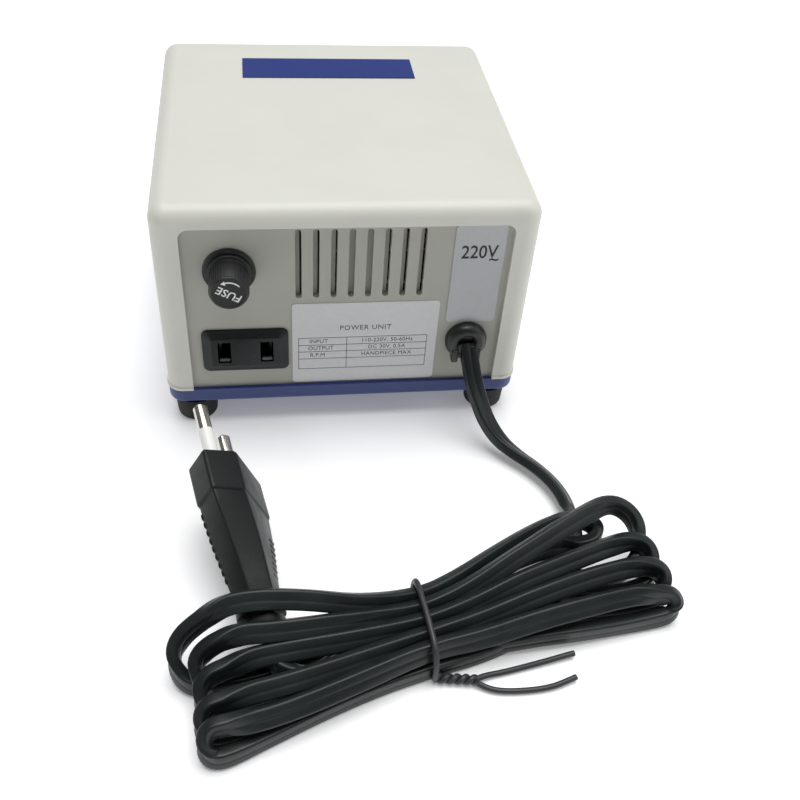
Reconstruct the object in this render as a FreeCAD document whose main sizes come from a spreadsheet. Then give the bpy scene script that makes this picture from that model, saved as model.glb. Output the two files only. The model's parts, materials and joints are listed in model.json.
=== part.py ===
import FreeCAD, Part
import math
import os
import Sketcher

os.makedirs("parts", exist_ok=True)
doc = FreeCAD.newDocument("lab_micromotor_unit")
V = FreeCAD.Vector

# Lab micromotor control unit, seen in its own frame: +Z up from the table, -Y the side with the
# controls, +Y the side with the fuse, the foot control outlet and the mains cord, origin on the
# table under the middle of the casing. All lengths are millimetres.

SIZES = [
    # casing
    ("case_width", 110.0),
    ("case_depth", 110.0),
    ("case_height", 64.1),
    ("case_wall", 2.4),
    ("case_corner", 4.8),
    ("case_top_edge", 4.6),
    ("case_inner_corner", 3.0),
    ("case_inner_top_edge", 1.5),
    ("lip", 1.3),
    ("frame_side", 7.8),
    ("frame_top", 5.9),
    ("opening_corner", 3.0),
    ("bead_proud", 0.4),
    ("bead_height", 0.8),
    # tray and feet
    ("foot_height", 8.5),
    ("foot_radius", 6.7),
    ("foot_taper", 0.5),
    ("foot_round", 1.3),
    ("foot_inset_x", 8.0),
    ("foot_inset_y", 7.0),
    ("foot_recess", 4.5),
    ("tray_height", 5.7),
    ("tray_floor", 2.0),
    ("tray_edge", 2.0),
    ("post_radius", 3.4),
    ("screw_radius", 1.45),
    ("screw_head_radius", 2.9),
    ("screw_head_height", 2.2),
    ("screw_grip", 9.8),
    ("screw_hole_gap", 0.25),
    ("screw_head_gap", 0.3),
    ("thread_gap", 0.05),
    # panels
    ("panel_thickness", 2.0),
    ("panel_gap", 0.2),
    ("vent_count", 8),
    ("vent_first", 14.5),
    ("vent_pitch", 5.08),
    ("vent_width", 1.8),
    ("vent_bottom", 47.6),
    ("vent_top_gap", 1.2),
    # labels
    ("label_thickness", 0.25),
    ("label_corner", 1.2),
    ("badge_width", 57.0),
    ("badge_depth", 14.2),
    ("badge_setback", 15.7),
    ("badge_thickness", 0.4),
    ("plate_height", 30.6),
    ("plate_outlet_gap", 1.15),
    ("plate_grommet_gap", 2.7),
    ("plate_bottom", 15.0),
    ("volt_width", 15.0),
    ("volt_side_gap", 2.1),
    ("volt_top_gap", 0.5),
    ("volt_bottom", 37.4),
    # fuse holder
    ("fuse_side_gap", 5.7),
    ("fuse_top_gap", 6.8),
    ("fuse_flange_radius", 7.5),
    ("fuse_flange_height", 1.0),
    ("fuse_barrel_radius", 6.0),
    ("fuse_barrel_length", 27.0),
    ("fuse_bore_radius", 4.2),
    ("fuse_floor", 2.0),
    ("fuse_cap_radius", 5.75),
    ("fuse_cap_length", 10.1),
    ("fuse_cap_gap", 0.2),
    ("fuse_cap_recess", 2.4),
    ("fuse_nut_radius", 8.3),
    ("fuse_nut_height", 3.0),
    ("carrier_gap", 0.3),
    ("carrier_bore", 2.75),
    ("glass_radius", 2.5),
    ("glass_length", 20.0),
    ("ferrule_length", 5.0),
    ("ferrule_wall", 0.12),
    ("mounting_gap", 0.15),
    # outlet
    ("outlet_side_gap", 3.7),
    ("outlet_z", 28.9),
    ("outlet_width", 25.8),
    ("outlet_height", 15.7),
    ("outlet_proud", 1.6),
    ("outlet_rim", 0.5),
    ("outlet_bevel", 2.7),
    ("outlet_corner", 2.0),
    ("outlet_body_width", 21.4),
    ("outlet_body_height", 12.0),
    ("outlet_body_length", 18.0),
    ("slot_pitch", 12.7),
    ("slot_width", 3.9),
    ("slot_height", 7.8),
    ("slot_depth", 14.0),
    ("blade_thickness", 0.8),
    ("blade_width", 6.4),
    # cord inlet
    ("grommet_side_gap", 3.65),
    ("grommet_z", 30.5),
    ("grommet_radius", 6.55),
    ("grommet_flange", 2.0),
    ("grommet_neck", 4.9),
    ("grommet_nose", 3.4),
    # mains cord
    ("cord_radius", 1.9),
    ("tie_radius", 0.75),
    # plug
    ("plug_half_length", 17.0),
    ("plug_half_shoulder", 10.46),
    ("plug_half_thickness", 6.9),
    ("plug_head", 12.75),
    ("plug_round", 1.2),
    ("plug_step", 1.4),
    ("plug_body_length", 36.0),
    ("pin_radius", 2.0),
    ("pin_length", 19.0),
    ("pin_tip", 8.7),
    ("pin_pitch", 18.19),
    ("pin_root", 10.0),
    ("sleeve_wall", 0.35),
    # speed knob
    ("knob_x", -14.0),
    ("knob_top_gap", 9.4),
    ("knob_radius", 13.5),
    ("knob_skirt", 15.0),
    ("knob_front", 65.0),
    ("knob_gap", 0.5),
    ("knob_flutes", 18),
    ("pot_radius", 12.0),
    ("pot_length", 11.0),
    ("pot_shaft_radius", 3.0),
    ("pot_bush_radius", 4.7),
    ("pot_bush_length", 4.5),
    ("pot_nut_radius", 7.0),
    ("pot_nut_height", 2.2),
    ("running_gap", 0.08),
    # rocker switches
    ("switch_count", 3),
    ("switch_side_gap", 5.7),
    ("bezel_width", 21.0),
    ("bezel_height", 15.0),
    ("bezel_proud", 1.6),
    ("switch_body_width", 18.8),
    ("switch_body_height", 12.6),
    ("switch_body_length", 20.0),
    ("rocker_radius", 7.5),
    ("rocker_height", 10.2),
    ("rocker_gap", 0.35),
    ("rocker_pivot", 0.7),
    ("rocker_tilt", 9.0),
    # handpiece socket
    ("socket_side_gap", 4.2),
    ("socket_z", 24.6),
    ("socket_ring_radius", 9.5),
    ("socket_ring_height", 2.4),
    ("socket_shell_radius", 8.0),
    ("socket_shell_wall", 1.0),
    ("socket_length", 16.0),
    ("socket_pin_radius", 0.75),
    ("socket_pin_circle", 4.3),
    ("socket_pins", 5),
    ("insert_gap", 0.1),
    # circuit breaker and lamp
    ("breaker_x", 3.0),
    ("breaker_z", 22.6),
    ("breaker_radius", 5.6),
    ("breaker_length", 22.0),
    ("breaker_nut_radius", 7.2),
    ("breaker_nut_height", 2.2),
    ("button_radius", 3.4),
    ("button_proud", 4.0),
    ("button_travel", 2.5),
    ("lamp_switch_gap", 4.3),
    ("lamp_top_gap", 5.2),
    ("lamp_radius", 3.0),
    ("lamp_flange", 4.2),
    ("lamp_length", 9.0),
    # transformer
    ("core_side_gap", 1.4),
    ("core_y", 6.0),
    ("core_width", 54.0),
    ("core_stack", 24.0),
    ("core_height", 45.0),
    ("core_limb", 9.0),
    ("coil_gap", 0.3),
    ("coil_overhang", 9.0),
    ("bobbin_wall", 1.0),
    ("bobbin_split", 1.2),
    ("bracket_sheet", 1.2),
    ("bracket_foot", 7.0),
    # circuit board
    ("board_side_gap", 1.6),
    ("board_y", 3.0),
    ("board_width", 26.0),
    ("board_depth", 52.0),
    ("board_thickness", 1.6),
    ("board_inset", 3.6),
    ("standoff_height", 6.0),
    ("standoff_radius", 3.0),
    ("board_screw_radius", 1.25),
    ("capacitor_radius", 6.5),
    ("capacitor_edge_gap", 1.2),
    ("capacitor_height", 26.0),
    ("sink_thickness", 2.0),
    ("sink_height", 24.0),
    ("sink_length", 30.0),
    ("relay_width", 13.0),
    ("relay_length", 19.0),
    ("relay_height", 15.0),
]


class Size:
    """A length that carries its number and the cell expression that drives it."""

    def __init__(self, number, text):
        self.number = float(number)
        self.text = text

    def __float__(self):
        return self.number

    def __add__(self, other):
        other = as_size(other)
        return Size(self.number + other.number, "(%s + %s)" % (self.text, other.text))

    def __radd__(self, other):
        return as_size(other) + self

    def __sub__(self, other):
        other = as_size(other)
        return Size(self.number - other.number, "(%s - %s)" % (self.text, other.text))

    def __rsub__(self, other):
        return as_size(other) - self

    def __mul__(self, other):
        other = as_size(other)
        return Size(self.number * other.number, "(%s * %s)" % (self.text, other.text))

    def __rmul__(self, other):
        return as_size(other) * self

    def __truediv__(self, other):
        other = as_size(other)
        return Size(self.number / other.number, "(%s / %s)" % (self.text, other.text))

    def __neg__(self):
        return Size(-self.number, "(0 - %s)" % self.text)


def as_size(value):
    if isinstance(value, Size):
        return value
    return Size(value, repr(float(value)))


class Cells:
    """Every row of the spreadsheet as a Size of the same name."""


sheet = doc.addObject("Spreadsheet::Sheet", "Sizes")
C = Cells()
for row, (name, number) in enumerate(SIZES, start=1):
    sheet.set("A%d" % row, name)
    sheet.set("B%d" % row, str(number))
    sheet.setAlias("B%d" % row, name)
    setattr(C, name, Size(number, "Sizes." + name))
doc.recompute()

TURN_X = FreeCAD.Rotation(V(1, 0, 0), 90)
TO_REAR = FreeCAD.Rotation(V(1, 0, 0), -90)
TO_FRONT = FreeCAD.Rotation(V(1, 0, 0), 90)
UPRIGHT = FreeCAD.Rotation()


def bind(thing, prop, value):
    """Drive a property of an object from the spreadsheet."""
    if isinstance(value, Size):
        thing.setExpression(prop, value.text)


def place(thing, at, turn=UPRIGHT):
    """Put an object at a point given by three lengths, with a fixed rotation."""
    thing.Placement = FreeCAD.Placement(V(*[float(value) for value in at]), turn)
    for axis, value in zip("xyz", at):
        bind(thing, "Placement.Base." + axis, value)
    return thing


# Bodies made from sketches

def new_body(label, at=(0, 0, 0), turn=UPRIGHT):
    body = doc.addObject("PartDesign::Body", label)
    body.Label = label
    return place(body, at, turn)


def new_sketch(body, role, offset=0):
    """A sketch on one of the body's own origin planes, moved along its normal."""
    plane = [item for item in body.Origin.OriginFeatures if item.Role == role][0]
    drawing = body.newObject("Sketcher::SketchObject", body.Name + "_sketch")
    drawing.AttachmentSupport = [(plane, "")]
    drawing.MapMode = "FlatFace"
    drawing.AttachmentOffset = FreeCAD.Placement(V(0, 0, float(offset)), UPRIGHT)
    bind(drawing, "AttachmentOffset.Base.z", offset)
    return drawing


def pin_point(drawing, geometry, point, x, y):
    """Fix a sketch point at x and y from the sketch's origin."""
    for kind, axis, value in (("DistanceX", -2, x), ("DistanceY", -1, y)):
        if float(value) == 0:
            drawing.addConstraint(Sketcher.Constraint("PointOnObject", geometry, point, axis))
        else:
            index = drawing.addConstraint(
                Sketcher.Constraint(kind, -1, 1, geometry, point, float(value)))
            bind(drawing, "Constraints[%d]" % index, value)


def draw_loop(drawing, corners):
    """A closed run of straight lines through corners given as lengths."""
    first = drawing.GeometryCount
    count = len(corners)
    for index in range(count):
        x1, y1 = [float(value) for value in corners[index]]
        x2, y2 = [float(value) for value in corners[(index + 1) % count]]
        drawing.addGeometry(Part.LineSegment(V(x1, y1, 0), V(x2, y2, 0)), False)
    for index in range(count):
        following = (index + 1) % count
        drawing.addConstraint(
            Sketcher.Constraint("Coincident", first + index, 2, first + following, 1))
        pin_point(drawing, first + index, 1, *corners[index])


def draw_box(drawing, x, y, width, height):
    """A rectangle about a centre."""
    left, right = x - as_size(width) / 2, x + as_size(width) / 2
    low, high = y - as_size(height) / 2, y + as_size(height) / 2
    draw_loop(drawing, [(left, low), (right, low), (right, high), (left, high)])


def draw_circle(drawing, x, y, radius):
    shape = Part.Circle(V(float(x), float(y), 0), V(0, 0, 1), float(radius))
    index = drawing.addGeometry(shape, False)
    pin_point(drawing, index, 3, x, y)
    rule = drawing.addConstraint(Sketcher.Constraint("Radius", index, float(radius)))
    bind(drawing, "Constraints[%d]" % rule, radius)


def pad(body, drawing, length, backward=False):
    feature = body.newObject("PartDesign::Pad", body.Name + "_pad")
    feature.Profile = drawing
    feature.Length = float(length)
    bind(feature, "Length", length)
    feature.Reversed = backward
    doc.recompute()
    return feature


def pocket(body, drawing, length, backward=False):
    """Cut a sketch into the body and make sure that it takes something away."""
    before = body.Shape.Volume
    feature = body.newObject("PartDesign::Pocket", body.Name + "_pocket")
    feature.Profile = drawing
    feature.Length = float(length)
    bind(feature, "Length", length)
    feature.Reversed = backward
    doc.recompute()
    if not body.Shape.Volume < before - 1e-6:
        raise RuntimeError("the pocket takes nothing from " + body.Label)
    return feature


def revolve(body, corners):
    """Turn a closed profile of radius and height about the body's Z axis."""
    drawing = new_sketch(body, "XZ_Plane")
    draw_loop(drawing, corners)
    feature = body.newObject("PartDesign::Revolution", body.Name + "_turned")
    feature.Profile = drawing
    feature.ReferenceAxis = (drawing, ["V_Axis"])
    feature.Angle = 360.0
    doc.recompute()
    return feature


def round_edges(body, radius, chosen, kind="Fillet"):
    """Round or chamfer the edges of the body's last feature that the test picks."""
    feature = body.Tip
    names = []
    for index, edge in enumerate(feature.Shape.Edges, start=1):
        if chosen(edge):
            names.append("Edge%d" % index)
    if not names:
        raise RuntimeError("no edge to round on " + body.Label)
    softened = body.newObject("PartDesign::" + kind, body.Name + "_" + kind.lower())
    softened.Base = (feature, names)
    prop = "Radius" if kind == "Fillet" else "Size"
    setattr(softened, prop, float(radius))
    bind(softened, prop, radius)
    doc.recompute()
    return softened


def along(edge, axis):
    """True for a straight edge that runs along one axis."""
    if edge.Curve.TypeId != "Part::GeomLine":
        return False
    way = edge.Vertexes[-1].Point - edge.Vertexes[0].Point
    return abs(abs(way.dot(axis)) - way.Length) < 1e-6


def level(edge, height, axis=2):
    """True for an edge that lies wholly at one height."""
    box = edge.BoundBox
    low, high = [(box.XMin, box.XMax), (box.YMin, box.YMax), (box.ZMin, box.ZMax)][axis]
    return abs(low - float(height)) < 1e-3 and abs(high - float(height)) < 1e-3


# Pieces made from primitives

def block(label, size, at, turn=UPRIGHT):
    """A box centred on X and Y about its place, standing on its Z."""
    thing = doc.addObject("Part::Box", label)
    thing.Label = label
    for prop, value in zip(("Length", "Width", "Height"), size):
        setattr(thing, prop, float(value))
        bind(thing, prop, value)
    return place(thing, at, turn)


def centred_block(label, size, at):
    """A box given by its three sizes and the centre of its underside."""
    corner = (at[0] - as_size(size[0]) / 2, at[1] - as_size(size[1]) / 2, at[2])
    return block(label, size, corner)


def rod(label, radius, length, at, turn=UPRIGHT):
    thing = doc.addObject("Part::Cylinder", label)
    thing.Label = label
    thing.Radius = float(radius)
    thing.Height = float(length)
    bind(thing, "Radius", radius)
    bind(thing, "Height", length)
    return place(thing, at, turn)


def joined(label, pieces, kind="Part::MultiFuse"):
    thing = doc.addObject(kind, label)
    thing.Label = label
    thing.Shapes = pieces
    return thing


def cut(label, base, tool):
    thing = doc.addObject("Part::Cut", label)
    thing.Label = label
    thing.Base = base
    thing.Tool = tool
    return thing


def group(label, pieces):
    """Several separate solids that count as one piece."""
    thing = doc.addObject("Part::Compound", label)
    thing.Label = label
    thing.Links = pieces
    return thing


def ring(label, radius, bore, length, at, turn=UPRIGHT):
    outer = rod(label + "_outer", radius, length, at, turn)
    inner = rod(label + "_bore", bore, length, at, turn)
    return cut(label, outer, inner)


def draw_arc_corner(drawing, x, y, radius, start):
    """A quarter circle about x and y, pinned at its centre, from an angle of start quarters."""
    begin = math.pi / 2 * start
    circle = Part.Circle(V(float(x), float(y), 0), V(0, 0, 1), float(radius))
    arc = Part.ArcOfCircle(circle, begin, begin + math.pi / 2)
    index = drawing.addGeometry(arc, False)
    pin_point(drawing, index, 3, x, y)
    rule = drawing.addConstraint(Sketcher.Constraint("Radius", index, float(radius)))
    bind(drawing, "Constraints[%d]" % rule, radius)
    first, second = ("Horizontal", "Vertical") if start % 2 == 0 else ("Vertical", "Horizontal")
    drawing.addConstraint(Sketcher.Constraint(first, index, 1, index, 3))
    drawing.addConstraint(Sketcher.Constraint(second, index, 2, index, 3))
    return index


def draw_rounded_box(drawing, x, y, width, height, radius):
    """A rectangle with rounded corners about a centre."""
    across = as_size(width) / 2 - radius
    up = as_size(height) / 2 - radius
    signs = ((1, 1), (-1, 1), (-1, -1), (1, -1))
    arcs = []
    for start, (sx, sy) in enumerate(signs):
        arcs.append(draw_arc_corner(drawing, x + across * sx, y + up * sy, radius, start))
    for index in range(4):
        one, two = arcs[index], arcs[(index + 1) % 4]
        a = drawing.Geometry[one].EndPoint
        b = drawing.Geometry[two].StartPoint
        line = drawing.addGeometry(Part.LineSegment(a, b), False)
        drawing.addConstraint(Sketcher.Constraint("Coincident", one, 2, line, 1))
        drawing.addConstraint(Sketcher.Constraint("Coincident", line, 2, two, 1))


def draw_slot(drawing, x, low, high, width):
    """An upright slot with round ends between two heights."""
    radius = as_size(width) / 2
    ends = []
    for y, begin in ((high - radius, 0.0), (low + radius, math.pi)):
        circle = Part.Circle(V(float(x), float(y), 0), V(0, 0, 1), float(radius))
        index = drawing.addGeometry(Part.ArcOfCircle(circle, begin, begin + math.pi), False)
        pin_point(drawing, index, 3, x, y)
        rule = drawing.addConstraint(Sketcher.Constraint("Radius", index, float(radius)))
        bind(drawing, "Constraints[%d]" % rule, radius)
        drawing.addConstraint(Sketcher.Constraint("Horizontal", index, 1, index, 3))
        drawing.addConstraint(Sketcher.Constraint("Horizontal", index, 2, index, 3))
        ends.append(index)
    for one, two in ((ends[0], ends[1]), (ends[1], ends[0])):
        a = drawing.Geometry[one].EndPoint
        b = drawing.Geometry[two].StartPoint
        line = drawing.addGeometry(Part.LineSegment(a, b), False)
        drawing.addConstraint(Sketcher.Constraint("Coincident", one, 2, line, 1))
        drawing.addConstraint(Sketcher.Constraint("Coincident", line, 2, two, 1))


def draw_hexagon(drawing, radius, across_x=0, across_y=0):
    corners = []
    for index in range(6):
        angle = math.pi / 3 * index + math.pi / 6
        corners.append((across_x + radius * math.cos(angle), across_y + radius * math.sin(angle)))
    draw_loop(drawing, corners)


def hex_nut(label, radius, bore, height, at, turn):
    body = new_body(label, at, turn)
    drawing = new_sketch(body, "XY_Plane")
    draw_hexagon(drawing, radius)
    draw_circle(drawing, 0, 0, bore)
    pad(body, drawing, height)
    return body


# Places that many pieces share

half_x = C.case_width / 2
half_y = C.case_depth / 2
inner_x = half_x - C.case_wall
panel_face = half_y - C.lip
panel_back = panel_face - C.panel_thickness
tray_top = C.foot_height + C.tray_height
floor_top = C.foot_height + C.tray_floor
case_top = tray_top + C.case_height
cavity_top = case_top - C.case_wall
opening_x = half_x - C.frame_side
opening_top = case_top - C.frame_top
panel_half = inner_x - C.case_inner_corner - C.panel_gap
panel_top = cavity_top - C.case_inner_top_edge - C.panel_gap
foot_x = half_x - C.foot_inset_x
foot_y = half_y - C.foot_inset_y
fuse_x = opening_x - C.fuse_side_gap - C.fuse_flange_radius
fuse_z = opening_top - C.fuse_top_gap - C.fuse_flange_radius
outlet_x = opening_x - C.outlet_side_gap - C.outlet_width / 2
grommet_x = -(opening_x - C.grommet_side_gap - C.grommet_radius)
plate_left = grommet_x + C.grommet_radius + C.plate_grommet_gap
plate_right = outlet_x - C.outlet_width / 2 - C.plate_outlet_gap
plate_width = plate_right - plate_left
plate_x = (plate_left + plate_right) / 2
volt_x = -(opening_x - C.volt_side_gap - C.volt_width / 2)
volt_height = opening_top - C.volt_top_gap - C.volt_bottom
vent_height = opening_top - C.vent_top_gap - C.vent_bottom
knob_z = opening_top - C.knob_top_gap - C.knob_skirt
switch_x = opening_x - C.switch_side_gap - C.bezel_width / 2
socket_x = -(opening_x - C.socket_side_gap - C.socket_ring_radius)
lamp_x = switch_x - C.bezel_width / 2 - C.lamp_switch_gap - C.lamp_flange
lamp_z = opening_top - C.lamp_top_gap - C.lamp_flange
bracket_toe = C.core_width / 2 + C.bracket_sheet + C.bracket_foot
core_x = -(inner_x - C.core_side_gap - bracket_toe)
board_x = inner_x - C.board_side_gap - C.board_width / 2
FOOT_SIGNS = ((1, 1), (-1, 1), (-1, -1), (1, -1))
pilot_radius = C.screw_radius + C.thread_gap
through_radius = C.screw_radius + C.screw_hole_gap
bracket_screw_x = C.core_width / 2 + C.bracket_sheet + C.bracket_foot / 2


def draw_foot_circles(drawing, radius):
    for sx, sy in FOOT_SIGNS:
        draw_circle(drawing, foot_x * sx, foot_y * sy, radius)


def make_top_cover():
    """The one-piece cover: roof, two sides, and a thin lip round each end's opening."""
    body = new_body("top_cover")
    bead = new_sketch(body, "XY_Plane", tray_top)
    draw_rounded_box(bead, as_size(0), as_size(0), C.case_width + C.bead_proud * 2,
                     C.case_depth + C.bead_proud * 2, C.case_corner + C.bead_proud)
    pad(body, bead, C.bead_height)
    shell = new_sketch(body, "XY_Plane", tray_top)
    draw_rounded_box(shell, as_size(0), as_size(0), C.case_width, C.case_depth, C.case_corner)
    pad(body, shell, C.case_height)
    round_edges(body, C.case_top_edge, lambda edge: level(edge, case_top))
    cavity = new_sketch(body, "XY_Plane", tray_top)
    draw_rounded_box(cavity, as_size(0), as_size(0), inner_x * 2, panel_face * 2,
                     C.case_inner_corner)
    pocket(body, cavity, C.case_height - C.case_wall, True)
    round_edges(body, C.case_inner_top_edge, lambda edge: level(edge, cavity_top))
    opening = new_sketch(body, "XZ_Plane", half_y + C.lip * 2)
    low = tray_top - C.opening_corner * 2
    draw_rounded_box(opening, as_size(0), (low + opening_top) / 2, opening_x * 2,
                     opening_top - low, C.opening_corner)
    pocket(body, opening, half_y * 2 + C.lip * 4)
    posts = new_sketch(body, "XY_Plane", tray_top)
    draw_foot_circles(posts, C.post_radius)
    pad(body, posts, cavity_top - tray_top + C.case_wall / 4)
    pilots = new_sketch(body, "XY_Plane", tray_top)
    draw_foot_circles(pilots, pilot_radius)
    pocket(body, pilots, C.screw_grip + C.screw_radius, True)
    return body


def make_base_tray():
    """The shallow coloured tray that closes the cover from below."""
    body = new_body("base_tray")
    slab = new_sketch(body, "XY_Plane", C.foot_height)
    draw_rounded_box(slab, as_size(0), as_size(0), C.case_width, C.case_depth, C.case_corner)
    pad(body, slab, C.tray_height)
    round_edges(body, C.tray_edge, lambda edge: level(edge, C.foot_height))
    cavity = new_sketch(body, "XY_Plane", tray_top)
    draw_rounded_box(cavity, as_size(0), as_size(0), inner_x * 2, panel_face * 2,
                     C.case_inner_corner)
    pocket(body, cavity, C.tray_height - C.tray_floor)
    posts = new_sketch(body, "XY_Plane", C.foot_height + C.tray_floor / 2)
    draw_foot_circles(posts, C.post_radius)
    pad(body, posts, C.tray_height - C.tray_floor / 2)
    holes = new_sketch(body, "XY_Plane", tray_top)
    draw_foot_circles(holes, through_radius)
    for side in (-1, 1):
        draw_circle(holes, core_x + bracket_screw_x * side, C.core_y, through_radius)
    pocket(body, holes, C.tray_height * 2)
    return body


def make_rubber_feet():
    feet = []
    recess = C.screw_head_radius + C.screw_head_gap
    for index, (sx, sy) in enumerate(FOOT_SIGNS):
        body = new_body("rubber_foot_%d" % (index + 1), (foot_x * sx, foot_y * sy, 0))
        revolve(body, [
            (through_radius, C.foot_height),
            (C.foot_radius, C.foot_height),
            (C.foot_radius - C.foot_taper, 0),
            (recess, 0),
            (recess, C.foot_recess),
            (through_radius, C.foot_recess),
        ])
        rim = C.foot_radius - C.foot_taper
        round_edges(body, C.foot_round, lambda edge: level(edge, 0)
                    and edge.BoundBox.XMax > float(rim) - 0.01)
        feet.append(body)
    return group("rubber_feet", feet)


def make_screw(label, at, radius, head_radius, head_height, length, turn=UPRIGHT):
    """A pan head screw whose head's flat underside is at its place, the shank along +Z."""
    body = new_body(label, at, turn)
    slope = head_height / 3
    revolve(body, [
        (0, -head_height),
        (head_radius - slope, -head_height),
        (head_radius, slope - head_height),
        (head_radius, 0),
        (radius, 0),
        (radius, length - radius / 2),
        (radius / 2, length),
        (0, length),
    ])
    cross = new_sketch(body, "XY_Plane", -head_height)
    thin, arm = head_radius / 7, head_radius / 2
    draw_loop(cross, [
        (thin, thin), (arm, thin), (arm, -thin), (thin, -thin), (thin, -arm), (-thin, -arm),
        (-thin, -thin), (-arm, -thin), (-arm, thin), (-thin, thin), (-thin, arm), (thin, arm),
    ])
    pocket(body, cross, head_height / 2, True)
    return body


def make_foot_screws():
    screws = []
    length = tray_top + C.screw_grip - C.foot_recess
    for index, (sx, sy) in enumerate(FOOT_SIGNS):
        screws.append(make_screw(
            "foot_screw_%d" % (index + 1), (foot_x * sx, foot_y * sy, C.foot_recess),
            C.screw_radius, C.screw_head_radius, C.screw_head_height, length))
    return group("foot_screws", screws)


def panel_blank(label, plane):
    """A flat plate that stands on the tray's floor behind a lip of the cover."""
    body = new_body(label)
    blank = new_sketch(body, "XZ_Plane", plane)
    draw_box(blank, as_size(0), (floor_top + panel_top) / 2, panel_half * 2, panel_top - floor_top)
    pad(body, blank, C.panel_thickness)
    return body


def make_rear_panel():
    plane = -panel_face
    body = panel_blank("rear_panel", plane)
    slot = new_sketch(body, "XZ_Plane", plane)
    draw_slot(slot, C.vent_first, C.vent_bottom, C.vent_bottom + vent_height, C.vent_width)
    first = pocket(body, slot, C.panel_thickness * 2, True)
    row = body.newObject("PartDesign::LinearPattern", "vent_row")
    row.Originals = [first]
    row.Direction = (slot, ["H_Axis"])
    row.Reversed = True
    row.Length = float(C.vent_pitch * (C.vent_count - 1))
    bind(row, "Length", C.vent_pitch * (C.vent_count - 1))
    row.Occurrences = int(C.vent_count.number)
    bind(row, "Occurrences", C.vent_count)
    body.Tip = row
    doc.recompute()
    holes = new_sketch(body, "XZ_Plane", plane)
    draw_circle(holes, fuse_x, fuse_z, C.fuse_barrel_radius + C.mounting_gap)
    draw_circle(holes, grommet_x, C.grommet_z, C.grommet_neck + C.mounting_gap)
    draw_box(holes, outlet_x, C.outlet_z, C.outlet_body_width + C.mounting_gap * 2,
             C.outlet_body_height + C.mounting_gap * 2)
    pocket(body, holes, C.panel_thickness * 2, True)
    return body


def switch_heights():
    """Middle heights of the rocker switches: they share the opening's height in equal gaps."""
    count = int(C.switch_count.number)
    gap = (opening_top - tray_top - C.bezel_height * count) / (count + 1)
    first = opening_top - gap - C.bezel_height / 2
    return [first - (C.bezel_height + gap) * index for index in range(count)]


def make_front_panel():
    plane = panel_back
    body = panel_blank("front_panel", plane)
    holes = new_sketch(body, "XZ_Plane", plane)
    draw_circle(holes, C.knob_x, knob_z, C.pot_bush_radius + C.mounting_gap)
    draw_circle(holes, socket_x, C.socket_z, C.socket_shell_radius + C.mounting_gap)
    draw_circle(holes, C.breaker_x, C.breaker_z, C.breaker_radius + C.mounting_gap)
    draw_circle(holes, lamp_x, lamp_z, C.lamp_radius + C.mounting_gap)
    for height in switch_heights():
        draw_box(holes, switch_x, height, C.switch_body_width + C.mounting_gap * 2,
                 C.switch_body_height + C.mounting_gap * 2)
    pocket(body, holes, C.panel_thickness * 2, True)
    return body


def rear_label(label, x, low, width, height):
    body = new_body(label, (x, panel_face, low + height / 2), TO_REAR)
    outline = new_sketch(body, "XY_Plane")
    draw_rounded_box(outline, as_size(0), as_size(0), width, height, C.label_corner)
    pad(body, outline, C.label_thickness)
    return body


def make_labels():
    badge_y = half_y * -1 + C.badge_setback + C.badge_depth / 2
    badge = new_body("name_badge", (0, badge_y, case_top))
    outline = new_sketch(badge, "XY_Plane")
    draw_box(outline, as_size(0), as_size(0), C.badge_width, C.badge_depth)
    pad(badge, outline, C.badge_thickness)
    return [
        badge,
        rear_label("rating_plate", plate_x, C.plate_bottom, plate_width, C.plate_height),
        rear_label("voltage_label", volt_x, C.volt_bottom, C.volt_width, volt_height),
    ]


# Fuse holder: its axis runs along +Y through the rear panel

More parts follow.
